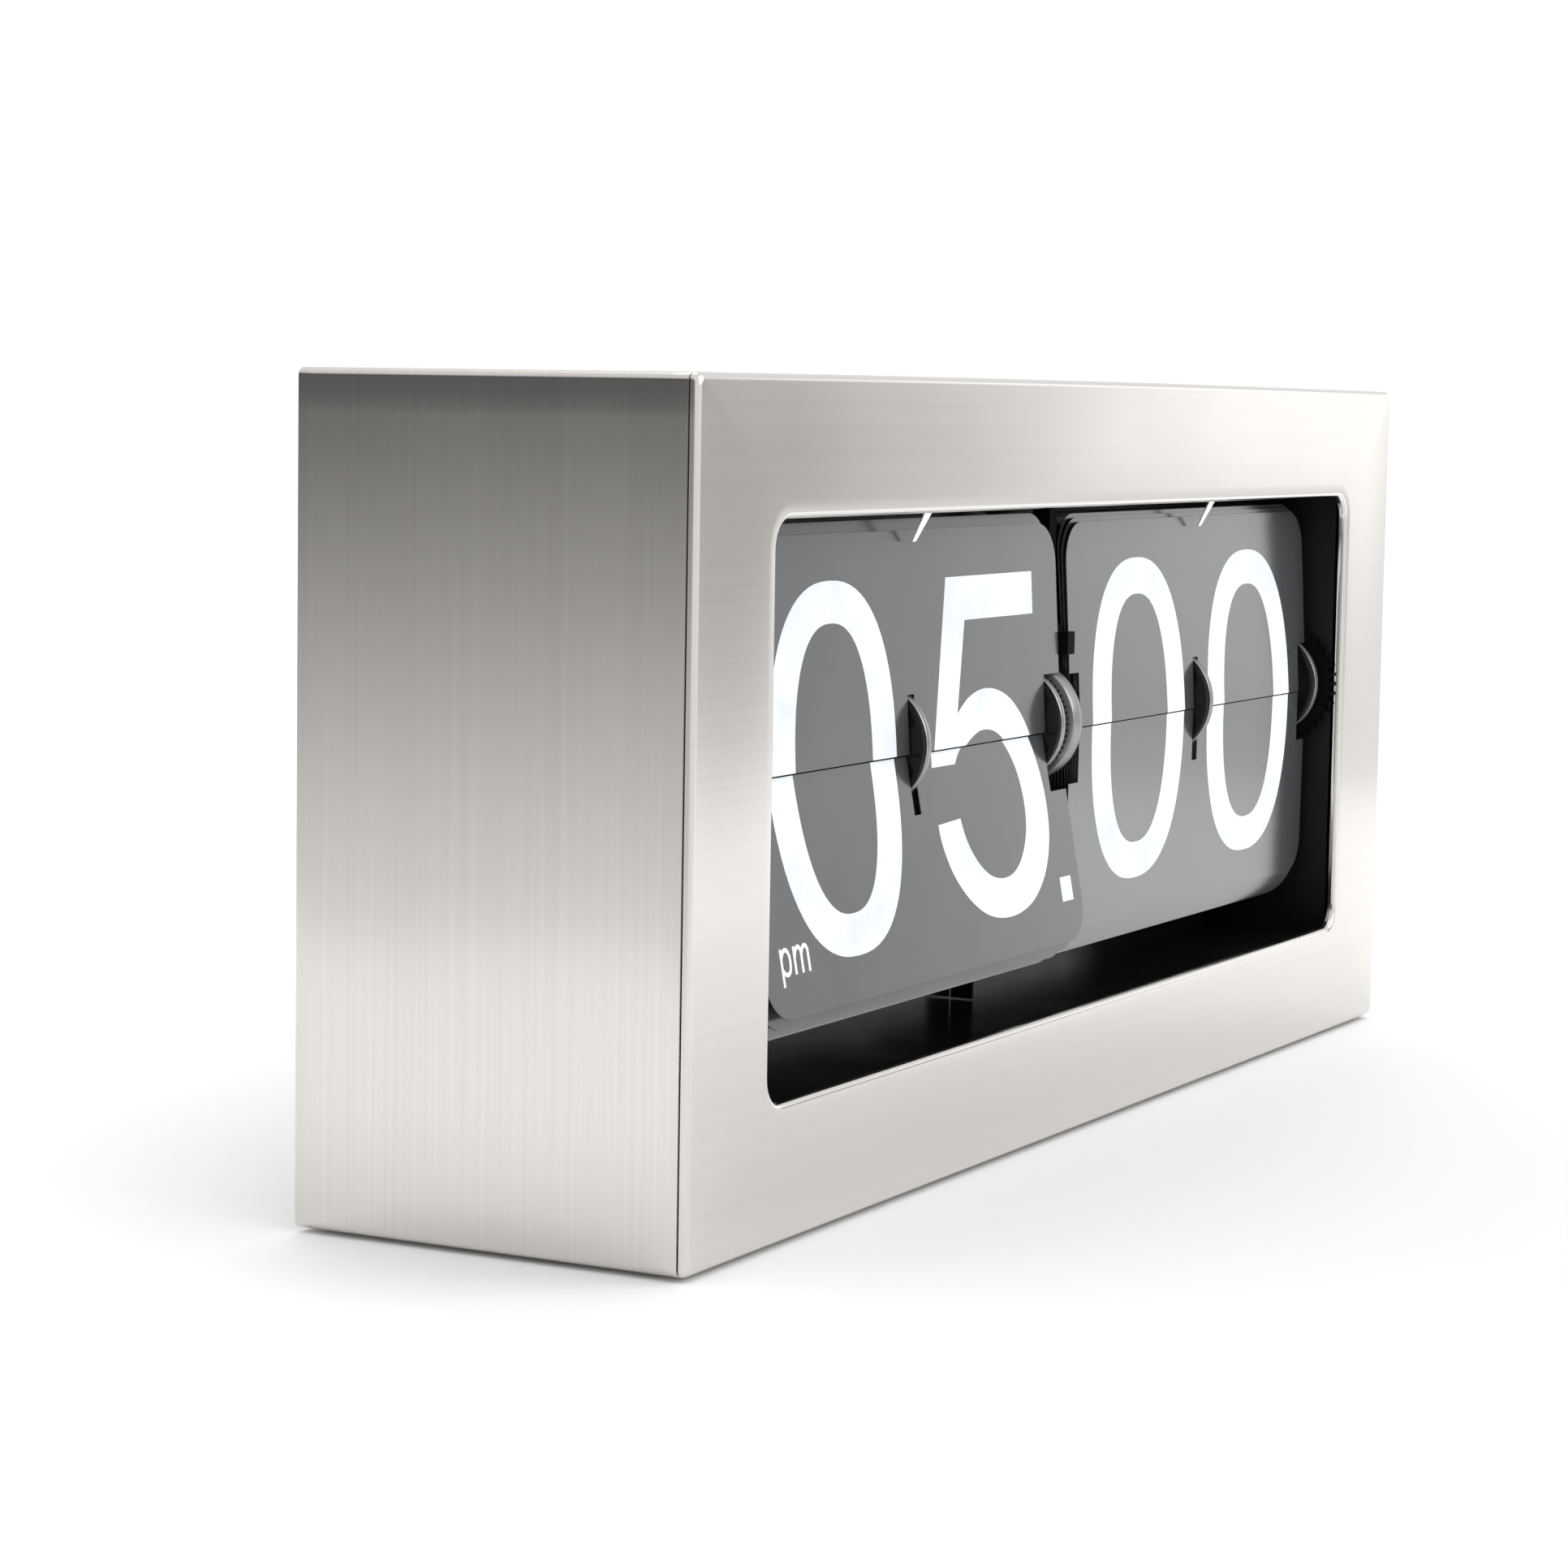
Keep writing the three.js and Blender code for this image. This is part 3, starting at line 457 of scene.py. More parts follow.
def fan_stand(drum, index):
    """Behind the held cards the rest lean back evenly, down to the last card of the fan."""
    d, z, lean = leaf_stand(drum, index)
    if index < drum["held"]:
        return d, z, lean
    last = leaf_stand(drum, drum["fan_last"])[2]
    share = (index - drum["held"]) / (drum["fan_last"] - drum["held"])
    return d, z, drum["fan_lean"] + (last - drum["fan_lean"]) * share


def hanging_stand(drum, index):
    """The cards past the back of the drum hang down, each swung a little further forward."""
    d, z, _ = leaf_stand(drum, index)
    pitch = 360 / drum["count"]
    angle = drum["pin"] + pitch * index
    end = drum["pin"] + pitch * (drum["count"] - 1)
    share = max(0, (angle - PLUMB_END) / (end - PLUMB_END))
    return d, z, 180 + (drum["end"] - 180) * share


def on_card(stand, shift=0.0):
    """place(x, s, w): a point s up a card from its hinge and w out of its front face."""
    d, z, lean = stand
    up = Vector((0, math.sin(math.radians(lean)), math.cos(math.radians(lean))))
    out = Vector((0, -up.z, up.y))
    base = Vector((0, d + shift + FRONT_Y, z))

    def place(x, s, w):
        p = base + up * s + out * w
        return (x, p.y, p.z)

    return place


def next_stand(drum):
    """The card behind the front upper card, set back far enough to stay clear of it."""
    upper, following = leaf_stand(drum, 0), leaf_stand(drum, 1)
    facing = upper[0] + (following[1] - upper[1]) * math.tan(math.radians(upper[2]))
    return (facing + NEXT_SETBACK, following[1], following[2])


def single_leaf(drum, stand, part, body):
    node = f"{drum['name']}_leaf_{part}"
    leaf = Shape().add(*prism(leaf_outline(drum), -HALF_THICK, HALF_THICK, on_card(stand)))
    return leaf.piece(f"card_{drum['name']}_{part}", CARD, body, node, "card", 30)


def leaf_stack(drum, stand_at, indices, shift, part):
    """Many cards in one piece, each where stand_at puts it."""
    outline = leaf_outline(drum, 8)
    stack = Shape()
    for index in indices:
        place = on_card(stand_at(drum, index), shift)
        stack.add(*prism(outline, -drum["thin"], drum["thin"], place))
    node = f"{drum['name']}_leaf_{part}"
    return stack.piece(f"card_{drum['name']}_{part}", CARD, "root", node, "card", 30)


for drum in (HOURS, MINUTES):
    last = drum["count"] - 1
    single_leaf(drum, leaf_stand(drum, 0), "upper", f"{drum['name']}_card")
    single_leaf(drum, next_stand(drum), "next", "root")
    single_leaf(drum, leaf_stand(drum, last), "lower", "root")
    leaf_stack(drum, fan_stand, range(2, drum["fan_last"] + 1), FAN_SHIFT, "fan")
    leaf_stack(drum, hanging_stand, range(drum["fan_last"] + 2, last), PILE_SHIFT, "pile")


# ---- numerals -----------------------------------------------------------------------------------

INK_HEIGHT = 0.03  # thickness of the ink
INK_SUNK = 0.005  # how much of it lies below the card's face
LAYER_STEP = INK_HEIGHT / 10  # keeps crossing strokes apart
SPLIT_GAP = 0.02  # how far the ink keeps off the split between two cards
DIGIT_OFFSET = 33.75  # from a card's middle to a digit's middle


def oval(cx, cy, a, b, power=2.4, steps=72):
    """A superellipse, a little squarer than an ellipse."""
    points = []
    for i in range(steps):
        t = 2 * math.pi * i / steps
        c, s = math.cos(t), math.sin(t)
        x = math.copysign(abs(c) ** (2 / power), c)
        y = math.copysign(abs(s) ** (2 / power), s)
        points.append((cx + a * x, cy + b * y))
    return points


def smooth_path(points, steps=5):
    """Catmull-Rom points through an open list."""
    ends = [points[0]] + list(points) + [points[-1]]
    result = []
    for i in range(len(points) - 1):
        p0, p1, p2, p3 = (Vector(p) for p in ends[i:i + 4])
        for k in range(steps):
            t = k / steps
            q = 0.5 * ((2 * p1) + (p2 - p0) * t + (2 * p0 - 5 * p1 + 4 * p2 - p3) * t * t
                       + (3 * p1 - p0 - 3 * p2 + p3) * t * t * t)
            result.append((q.x, q.y))
    result.append(tuple(points[-1]))
    return result


def stroke(path, width):
    """The outline of a line of constant width with square ends."""
    left, right = [], []
    for i, p in enumerate(path):
        before, after = Vector(path[max(i - 1, 0)]), Vector(path[min(i + 1, len(path) - 1)])
        along = (after - before).normalized()
        side = Vector((-along.y, along.x)) * (width / 2)
        left.append((p[0] + side.x, p[1] + side.y))
        right.append((p[0] - side.x, p[1] - side.y))
    return left + right[::-1]


FIVE_BOWL_OUT = [
    (-12.6, 7.2), (-10.1, 8.7), (-6.7, 10.3), (-1.8, 11.4), (3.4, 11.5), (8.7, 10.5), (13.5, 8.6),
    (17.6, 5.8), (20.9, 2.6), (23.7, -1.4), (25.6, -5.5), (26.9, -10), (27.4, -14.5), (27, -19.2),
    (25.7, -23.2), (23.3, -27.2), (19.6, -30.8), (14.2, -33.9), (7.3, -35.7), (-0.2, -36),
    (-7.3, -34.9), (-13.2, -32.4), (-18.2, -28.8), (-22, -24.6), (-24.3, -20.3), (-25.3, -17),
    (-25.5, -14.6),
]
FIVE_BOWL_IN = [
    (-15, -14.1), (-14.6, -15.9), (-13.5, -18.7), (-11.4, -21.8), (-8.3, -24.7), (-4.4, -26.9),
    (0.4, -27.9), (5.4, -27.6), (9.6, -25.9), (13, -23), (15.4, -19.2), (16.3, -15.4), (16.2, -11.4),
    (15.1, -7.2), (13.1, -3.6), (10.6, -0.7), (8, 1.2), (4.9, 2.5), (1.3, 3.1), (-2.4, 3), (-6.1, 1.9),
    (-9.3, 0.4), (-11.9, -1.2), (-13.9, -3.1),
]
FIVE = [[(-24.7, -3.1), (-16.3, 34.9), (25.7, 34.9), (25.7, 26), (-7.9, 26)]
        + smooth_path(FIVE_BOWL_OUT) + smooth_path(FIVE_BOWL_IN)]
SIX_STEM = [
    (-21.3, -14), (-21.2, -4), (-20, 8), (-16.4, 18.5), (-10.5, 26), (-2, 30.6), (7.5, 30.4),
    (15.5, 25.2), (19.6, 17.6),
]
STEM_WIDTH = 10.4
SIX_RING = [oval(0.4, -13.2, 26.6, 22.7), oval(0.4, -13.2, 16.2, 14.8)]

# each digit is a list of layers, and each layer an outline with its holes
GLYPHS = {
    "0": [[oval(0, 0, 26.6, 35.9), oval(0, 0, 16.2, 27.8)]],
    "1": [[[(-2.5, -35), (8.3, -35), (8.3, 35), (0.2, 35), (-15, 26.5), (-15, 16.2), (-2.5, 22.6)]]],
    "5": [FIVE],
    "6": [SIX_RING, [stroke(smooth_path(SIX_STEM), STEM_WIDTH)]],
}

# "pm", with strokes of one width
LETTER_WIDTH = 0.85
P_STEM = [(-4.9, -2.2), (-4.9, 4.9)]
P_BOWL = [(-4.7, 0.9), (-3.9, 0.15), (-2.9, 0), (-2.0, 0.5), (-1.6, 1.6), (-1.55, 2.4), (-1.7, 3.4),
          (-2.3, 4.3), (-3.2, 4.6), (-4.1, 4.2), (-4.7, 3.3)]
M_STEM = [(0.3, -0.3), (0.3, 4.9)]
M_ARCHES = ([(0.45, 2.9), (0.8, 3.9), (1.6, 4.6), (2.4, 4.55), (2.95, 3.9), (3.05, 2.9), (3.05, -0.3)],
            [(3.05, 2.9), (3.45, 3.9), (4.25, 4.6), (5.05, 4.55), (5.6, 3.9), (5.7, 2.9), (5.7, -0.3)])
LETTER_PATHS = [P_STEM, M_STEM] + [smooth_path(path) for path in (P_BOWL, *M_ARCHES)]
LETTERS = [[stroke(path, LETTER_WIDTH)] for path in LETTER_PATHS]
LETTERS_PLACE = (-59.9, -36.1)
DOT = [(-2.8, -2.6), (2.8, -2.6), (2.8, 2.6), (-2.8, 2.6)]
DOT_PLACE = (65.0, -33.2)


def glyph_mesh(bm, contours, dx, dy, rise):
    """Adds one flat layer of a glyph, moved by (dx, dy) and raised."""
    flat = [p for contour in contours for p in contour]
    verts = [bm.verts.new((x + dx, y + dy, rise)) for x, y in flat]
    triangles = tessellate_polygon([[Vector((x, y, 0)) for x, y in contour] for contour in contours])
    for t in triangles:
        if len(set(t)) == 3:
            try:
                bm.faces.new([verts[i] for i in t])
            except ValueError:
                continue


def numerals(name, drum, text, stand, half, body, extras=(), back=False):
    """Prints two digits on a card: half is 1 above the split and -1 below, back is the rear face."""
    bm = bmesh.new()
    drop = drum["drop"] if half > 0 else 0
    for place, digit in zip((-DIGIT_OFFSET, DIGIT_OFFSET), text):
        for layer, contours in enumerate(GLYPHS[digit]):
            glyph_mesh(bm, contours, place, -drop, layer * LAYER_STEP)
    for layer, (contours, (dx, dy)) in enumerate(extras):
        glyph_mesh(bm, contours, dx, dy, layer * LAYER_STEP)
    parts = bm.verts[:] + bm.edges[:] + bm.faces[:]
    split = (0, half * SPLIT_GAP, 0)
    bmesh.ops.bisect_plane(bm, geom=parts, plane_co=split, plane_no=(0, half, 0), clear_inner=True)
    shell = bmesh.ops.extrude_face_region(bm, geom=bm.faces[:])
    for item in shell["geom"]:
        if isinstance(item, bmesh.types.BMVert):
            item.co.z += INK_HEIGHT
    place = on_card(stand)
    centre = drum["side"] * CENTRE
    face = HALF_THICK - INK_SUNK
    for v in bm.verts:
        s = half * v.co.y - drum["edge"]
        out = face + v.co.z
        if half < 0 or back:
            out = -out
        v.co = Vector(place(centre + v.co.x, s, out)) * MM
    bmesh.ops.recalc_face_normals(bm, faces=bm.faces)
    mesh = bpy.data.meshes.new(name)
    bm.to_mesh(mesh)
    bm.free()
    mesh.materials.append(INK)
    piece = bpy.data.objects.new(name, mesh)
    bpy.context.scene.collection.objects.link(piece)
    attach(piece, body)
    return piece


def print_drum(drum, now, following, extras):
    """Prints a drum's front cards, and the next number on the card behind and on the falling back."""
    name = drum["name"]
    upper, lower = leaf_stand(drum, 0), leaf_stand(drum, drum["count"] - 1)
    numerals(f"ink_{name}_upper", drum, now, upper, 1, f"{name}_card")
    numerals(f"ink_{name}_flip", drum, following, upper, -1, f"{name}_card", extras, back=True)
    numerals(f"ink_{name}_next", drum, following, next_stand(drum), 1, "root")
    numerals(f"ink_{name}_lower", drum, now, lower, -1, "root", extras)


HOUR_EXTRAS = [(contours, LETTERS_PLACE) for contours in LETTERS] + [([DOT], DOT_PLACE)]
print_drum(HOURS, "05", "06", HOUR_EXTRAS)
print_drum(MINUTES, "00", "01", [])


# ---- drums --------------------------------------------------------------------------------------

ROUND_EDGE = ((0.25, 0.0), (0.07, 0.07), (0.0, 0.25))  # (inset, setback) pairs round a disc's edge
GROOVE = ((0.0, 0.0), (0.06, 0.12), (0.2, 0.12), (0.26, 0.0))  # (along, depth) pairs across a rim
GROOVE_SETBACK = 0.8  # from a disc's left side
DISC_BORE = 5.3
HUB_RADIUS = 7.2
WEB_SINK = 0.25
WEB_SLOPE = 0.3
BEAD_INSIDE = 10.9  # where the raised rim of a full-size disc starts
BEAD_LEAST = 0.6  # the least width of that rim
HINGE_RADIUS = 0.32  # of the small pins that carry the cards
HINGE_SETBACK = 0.02
HIGHLIGHT_SKIN = 0.11  # faces within this depth of the rim take the lighter colour, a painted highlight


def paint_rim_highlight(piece, radius):
    """Gives the faces on a disc's rim the lighter finish, worn like the rest; its lighter colour is a
    painted highlight for the bright surroundings that the glossy rim reflects.
    """
    mesh = piece.data
    mesh.materials.append(RIM)
    centre = Vector((AXLE_D + FRONT_Y, AXLE_Z)) * MM
    for polygon in mesh.polygons:
        reach = (Vector(polygon.center[1:]) - centre).length
        if reach > (radius - HIGHLIGHT_SKIN) * MM:
            polygon.material_index = 1


def groove(x, radius):
    return [(x + along, radius - depth) for along, depth in GROOVE]


def disc_side(x, inward, radius):
    """One side of a disc from its bore out: hub, sunk web, raised rim and soft edge."""
    sunk = x + inward * WEB_SINK
    bead = min(BEAD_INSIDE, radius - BEAD_LEAST)
    side = [(x, DISC_BORE), (x, HUB_RADIUS), (sunk, HUB_RADIUS + WEB_SLOPE)]
    side += [(sunk, bead - WEB_SLOPE), (x, bead)]
    return side + [(x + inward * setback, radius - inset) for inset, setback in ROUND_EDGE]


def disc_piece(node, body, hinges):
    """A drum disc with one small pin for each card."""
    low, high = box(node)
    x0, x1, radius = low.x, high.x, (high.z - low.z) / 2
    profile = disc_side(x0, 1, radius) + groove(x0 + GROOVE_SETBACK, radius)
    profile += reversed(disc_side(x1, -1, radius))
    disc = Shape().add(*ring_lathe(profile, AXLE_D, AXLE_Z))
    pin = [(x0 + HINGE_SETBACK, HINGE_RADIUS), (x1 - HINGE_SETBACK, HINGE_RADIUS)]
    for i in range(hinges):
        a = 2 * math.pi * i / hinges
        d, z = AXLE_D + PIN_RADIUS * math.cos(a), AXLE_Z + PIN_RADIUS * math.sin(a)
        disc.add(*lathe(pin, d, z, 8))
    paint_rim_highlight(disc.piece(node + "_look", DRUM, body, node, "drum_plastic", 40), radius)


for part in ("left", "centre", "right"):
    disc_piece(f"hour_disc_{part}", "hour_drum", HOURS["count"])
    disc_piece(f"minute_disc_{part}", "minute_drum", MINUTES["count"])

COLLAR_X = (-5.5, -0.6)  # the band's left and right side
COLLAR_RADIUS = 12.9
COLLAR_BORE = 1.8
COLLAR_GROOVE = 1.9  # from the collar's right side to the start of its groove
COLLAR_TEETH = 14
COLLAR_MODULE = 0.4
# one tooth: (height in modules, share of the pitch) from root to root
TOOTH = ((-1.15, -0.36), (0, -0.225), (0.8, -0.105), (0.8, 0.105), (0, 0.225), (-1.15, 0.36))
COLLAR_ROOT = COLLAR_MODULE * (COLLAR_TEETH / 2 + TOOTH[0][0])


def collar_teeth():
    """The gear at the collar's right side, seen along the axle."""
    outline = []
    for tooth in range(COLLAR_TEETH):
        for height, share in TOOTH:
            a = 2 * math.pi * (tooth + share) / COLLAR_TEETH
            r = COLLAR_MODULE * COLLAR_TEETH / 2 + height * COLLAR_MODULE
            outline.append((AXLE_D + r * math.cos(a), AXLE_Z + r * math.sin(a)))
    return outline


def collar_piece():
    """A wide grooved band with a small gear; all of it outside the gear's roots takes the painted rim
    highlight.
    """
    x0, x1 = COLLAR_X
    r = COLLAR_RADIUS
    profile = [(x0, COLLAR_BORE), (x0, r - 0.3), (x0 + 0.1, r - 0.1), (x0 + 0.35, r)]
    profile += groove(x1 - COLLAR_GROOVE, r)
    profile += [(x1 - 0.3, r), (x1 - 0.1, r - 0.1), (x1, r - 0.3), (x1, COLLAR_BORE)]
    collar = Shape().add(*ring_lathe(profile, AXLE_D, AXLE_Z, 128))
    gear_end = box("minute_drum_collar")[1].x
    collar.add(*prism(collar_teeth(), x1 - 0.1, gear_end, lambda u, v, w: (w, u + FRONT_Y, v)))
    look = collar.piece("collar_look", DRUM, "minute_drum", "minute_drum_collar", "drum_plastic", 40)
    paint_rim_highlight(look, COLLAR_ROOT)


collar_piece()


# ---- small parts --------------------------------------------------------------------------------

def foot_piece(node):
    """A thin round pad with soft edges."""
    low, high = box(node)
    cx, cy, r, top = (low.x + high.x) / 2, (low.y + high.y) / 2, (high.x - low.x) / 2, high.z
    profile = [(0, 0), (0, r - 0.5), (0.04, r - 0.2), (0.15, r), (top - 0.1, r), (top, r - 0.15), (top, 0)]
    foot = Shape().add(*lathe(profile, cx, cy, 48, axis="z"))
    return foot.piece(node + "_look", RUBBER, "root", node, "rubber")


for end in ("front", "rear"):
    for side in ("left", "right"):
        foot_piece(f"foot_pad_{end}_{side}")


HEAD_HEIGHT = 1.8
SHANK_RADIUS = 1.3
TIP_RADIUS = 0.7
TIP_LENGTH = 0.6


def screw_piece(node):
    """A plain round-headed screw, its tip forwards."""
    low, high = box(node)
    cx, cz, r = (low.x + high.x) / 2, (low.z + high.z) / 2, (high.x - low.x) / 2
    tip, back = low.y - FRONT_Y, high.y - FRONT_Y
    seat, crown = back - HEAD_HEIGHT, back - 0.05
    profile = [(tip, 0), (tip, TIP_RADIUS), (tip + TIP_LENGTH, SHANK_RADIUS), (seat, SHANK_RADIUS)]
    profile += [(seat, r - 0.1), (seat + 0.1, r), (seat + 0.7, r), (crown - 0.3, r * 0.8)]
    profile += [(crown, r * 0.42), (crown, r * 0.4), (crown, 0)]
    screw = Shape().add(*lathe(profile, cx, cz, 40, axis="y"))
    return screw.piece(node + "_look", SPRING, "root", node, "spring_steel")


for side in ("left", "right"):
    for level in ("low", "high"):
        screw_piece(f"cover_screw_{side}_{level}")


CELL_SHOULDER = 1.5  # from the tip of the cell's button back to its shoulder
BUTTON_RADIUS = 4.7
BRASS_BAND = 12  # length of the brass-coloured band


def cell_piece():
    """The cell: a wrapped can with a bare base, a brass-coloured band and a button."""
    low, high = box("battery_cell")
    d, z, r = (low.y + high.y) / 2 - FRONT_Y, (low.z + high.z) / 2, (high.z - low.z) / 2
    x0, shoulder, tip = low.x, high.x - CELL_SHOULDER, high.x
    profile = [(x0, 0), (x0, r - 3), (x0 + 0.3, r - 2.4), (x0 + 0.3, r - 1), (x0, r - 0.6), (x0 + 0.5, r)]
    profile += [(shoulder - 0.8, r), (shoulder - 0.1, r - 0.6), (shoulder - 0.1, r - 3.2)]
    profile += [(shoulder, r - 3.6), (shoulder, BUTTON_RADIUS + 0.9), (shoulder + 0.3, BUTTON_RADIUS)]
    profile += [(tip - 0.3, BUTTON_RADIUS), (tip, BUTTON_RADIUS - 0.5), (tip, 0)]
    can = Shape().add(*lathe(profile, d, z, 64))
    cell = can.piece("cell_look", WRAP, "root", "battery_cell", "cell_wrap")
    cell.data.materials.append(BRASS)
    cell.data.materials.append(SPRING)
    for polygon in cell.data.polygons:
        middle = polygon.center / MM
        out = math.hypot(middle.y - d - FRONT_Y, middle.z - z)
        if middle.x > shoulder - BRASS_BAND and out > r - 3.3:
            polygon.material_index = 1
        elif out < r - 2 or middle.x < x0 + 0.4:
            polygon.material_index = 2


cell_piece()


# ---- CAD pieces shown as they are ---------------------------------------------------------------

# each node's finish, and the width of its edges' bevel
SHOWN = {
    "rear_cover": (COVER_BLACK, 0.5),
    "battery_door": (COVER_BLACK, 0.5),
    "left_end_plate": (BLACK, 0.2),
    "right_end_plate": (BLACK, 0.2),
    "movement_base": (GLOSS_BLACK, 0.3),
    "movement_roof": (BLACK, 0.3),
    # centre_bracket, centre_leaf_guide and the two drum gears take SHADOW_BLACK, painted shade in place of
    # their own colour
    "centre_bracket": (SHADOW_BLACK, 0),
    "main_axle": (SPRING, 0.15),
    "catch_rail": (BLACK, 0.3),
    "leaf_catch_hour": (SPRING, 0.06),
    "leaf_catch_minute": (SPRING, 0.06),
    "centre_leaf_guide": (SHADOW_BLACK, 0.35),
    "hour_drum_core": (DRUM, 0.2),
    "hour_drum_gear": (SHADOW_BLACK, 0),
    "minute_drum_core": (DRUM, 0.2),
    "minute_drive_gear": (SHADOW_BLACK, 0.1),
    "transfer_arbor": (SPRING, 0.1),
    "transfer_wheel": (GEAR, 0.05),
    "transfer_pinion": (GEAR, 0.05),
    "idler_arbor": (SPRING, 0.15),
    "idler_gear": (GEAR, 0.1),
    "motor_pinion": (BRASS, 0.08),
    "drive_motor": (SPRING, 0.6),
    "time_set_gear": (GEAR, 0.1),
    "time_set_arbor": (SPRING, 0.2),
    "time_set_wheel": (BLACK, 0.25),
    "battery_tray": (BLACK, 0.3),
    "battery_contact_plus": (BRASS, 0.12),
    "battery_contact_spring": (SPRING, 0),
    "battery_lead_plus": (RED, 0),
    "battery_lead_minus": (BLACK, 0),
    "drive_board": (BOARD, 0.1),
}
BEVEL_STEPS = 3
BEVEL_ANGLE = 50

for node, (material, bevel) in SHOWN.items():
    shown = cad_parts[node]
    shown.data.materials.clear()
    shown.data.materials.append(material)
    if bevel:
        modifier = shown.modifiers.new("edge", "BEVEL")
        modifier.width = bevel * MM
        modifier.segments = BEVEL_STEPS
        modifier.limit_method = "ANGLE"
        modifier.angle_limit = math.radians(BEVEL_ANGLE)


# ---- stage, light and camera --------------------------------------------------------------------

# the floor and the lights are in metres
FLOOR_RADIUS = 0.68
FLOOR_CENTRE = 0.1
FLOOR_SIDES = 128
SHADE_CENTRE = (-0.03, -0.22, 0)  # the floor is painted a little darker round this point: painted shade on the floor in front of the clock
SHADE_REACH = (0.08, 0.42)  # from where the shade starts to fade to where it ends
SHADE_DARK = 0.77
SHADE_LIGHT = 0.97

# the room behind the clock's left side: (height component of a direction, brightness)
ROOM_STOPS = [
    (-0.22, 1.1), (-0.147, 1.05), (-0.105, 0.84), (-0.084, 0.63), (-0.042, 0.38), (0.0, 0.13),
    (0.3, 0.12), (0.5, 0.8), (1.0, 1.0),
]
ROOM_DIRECTION = (-0.886, 0.464, 0.0)
ROOM_EDGE = (0.2, 0.7)  # cosines, where the room starts to show and where it shows fully
# round areas in front: direction, degrees to the outer and inner edge, brightness outside and inside
PATCH = ((0.8307, -0.5498, 0.0872), 11.0, 9.8, 1.0, 0.55)
GLARE = ((0.9444, -0.2978, 0.1392), 12.0, 8.0, 1.0, 1.5)
PLAIN_WHITE = 1.2  # the light that surfaces receive, and the backdrop

CAMERA_PLACE = (-771.12, -370.08, 154.82)  # millimetres
CAMERA_TURN = (62.2773, 5.5831, 0.9433)  # degrees right of +Y, degrees down, degrees of roll
CAMERA_LENS = 90.04
SENSOR_WIDTH = 36


def stage_floor():
    """A round white sheet under the clock."""
    mesh = bpy.data.meshes.new("floor")
    turns = [2 * math.pi * i / FLOOR_SIDES for i in range(FLOOR_SIDES)]
    rim = [(FLOOR_CENTRE + FLOOR_RADIUS * math.cos(a), FLOOR_RADIUS * math.sin(a), 0) for a in turns]
    mesh.from_pydata(rim, [], [tuple(range(FLOOR_SIDES))])
    floor = bpy.data.objects.new("floor", mesh)
    bpy.context.scene.collection.objects.link(floor)
    paper = Finish("paper_white", (0.94, 0.94, 0.94), roughness=0.6, specular=0.2)
    fibre = paper.noise((300, 300, 300))
    near = paper.nodes.new("ShaderNodeVectorMath")
    near.operation = "DISTANCE"
    near.inputs[1].default_value = SHADE_CENTRE
    paper.links.new(paper.place, near.inputs[0])
    # painted shade: the floor darkens towards SHADE_CENTRE
    painted_shade = paper.nodes.new("ShaderNodeMix")
    painted_shade.data_type = "RGBA"
    painted_shade.inputs["A"].default_value = (SHADE_DARK, SHADE_DARK, SHADE_DARK, 1)
    painted_shade.inputs["B"].default_value = (SHADE_LIGHT, SHADE_LIGHT, SHADE_LIGHT, 1)
    paper.links.new(paper.ramp(near.outputs["Value"], 0, 1, *SHADE_REACH), painted_shade.inputs["Factor"])
    paper.links.new(painted_shade.outputs["Result"], paper.shader.inputs["Base Color"])
    paper.bump(fibre, 0.02, 0.2)
    mesh.materials.append(paper.material)


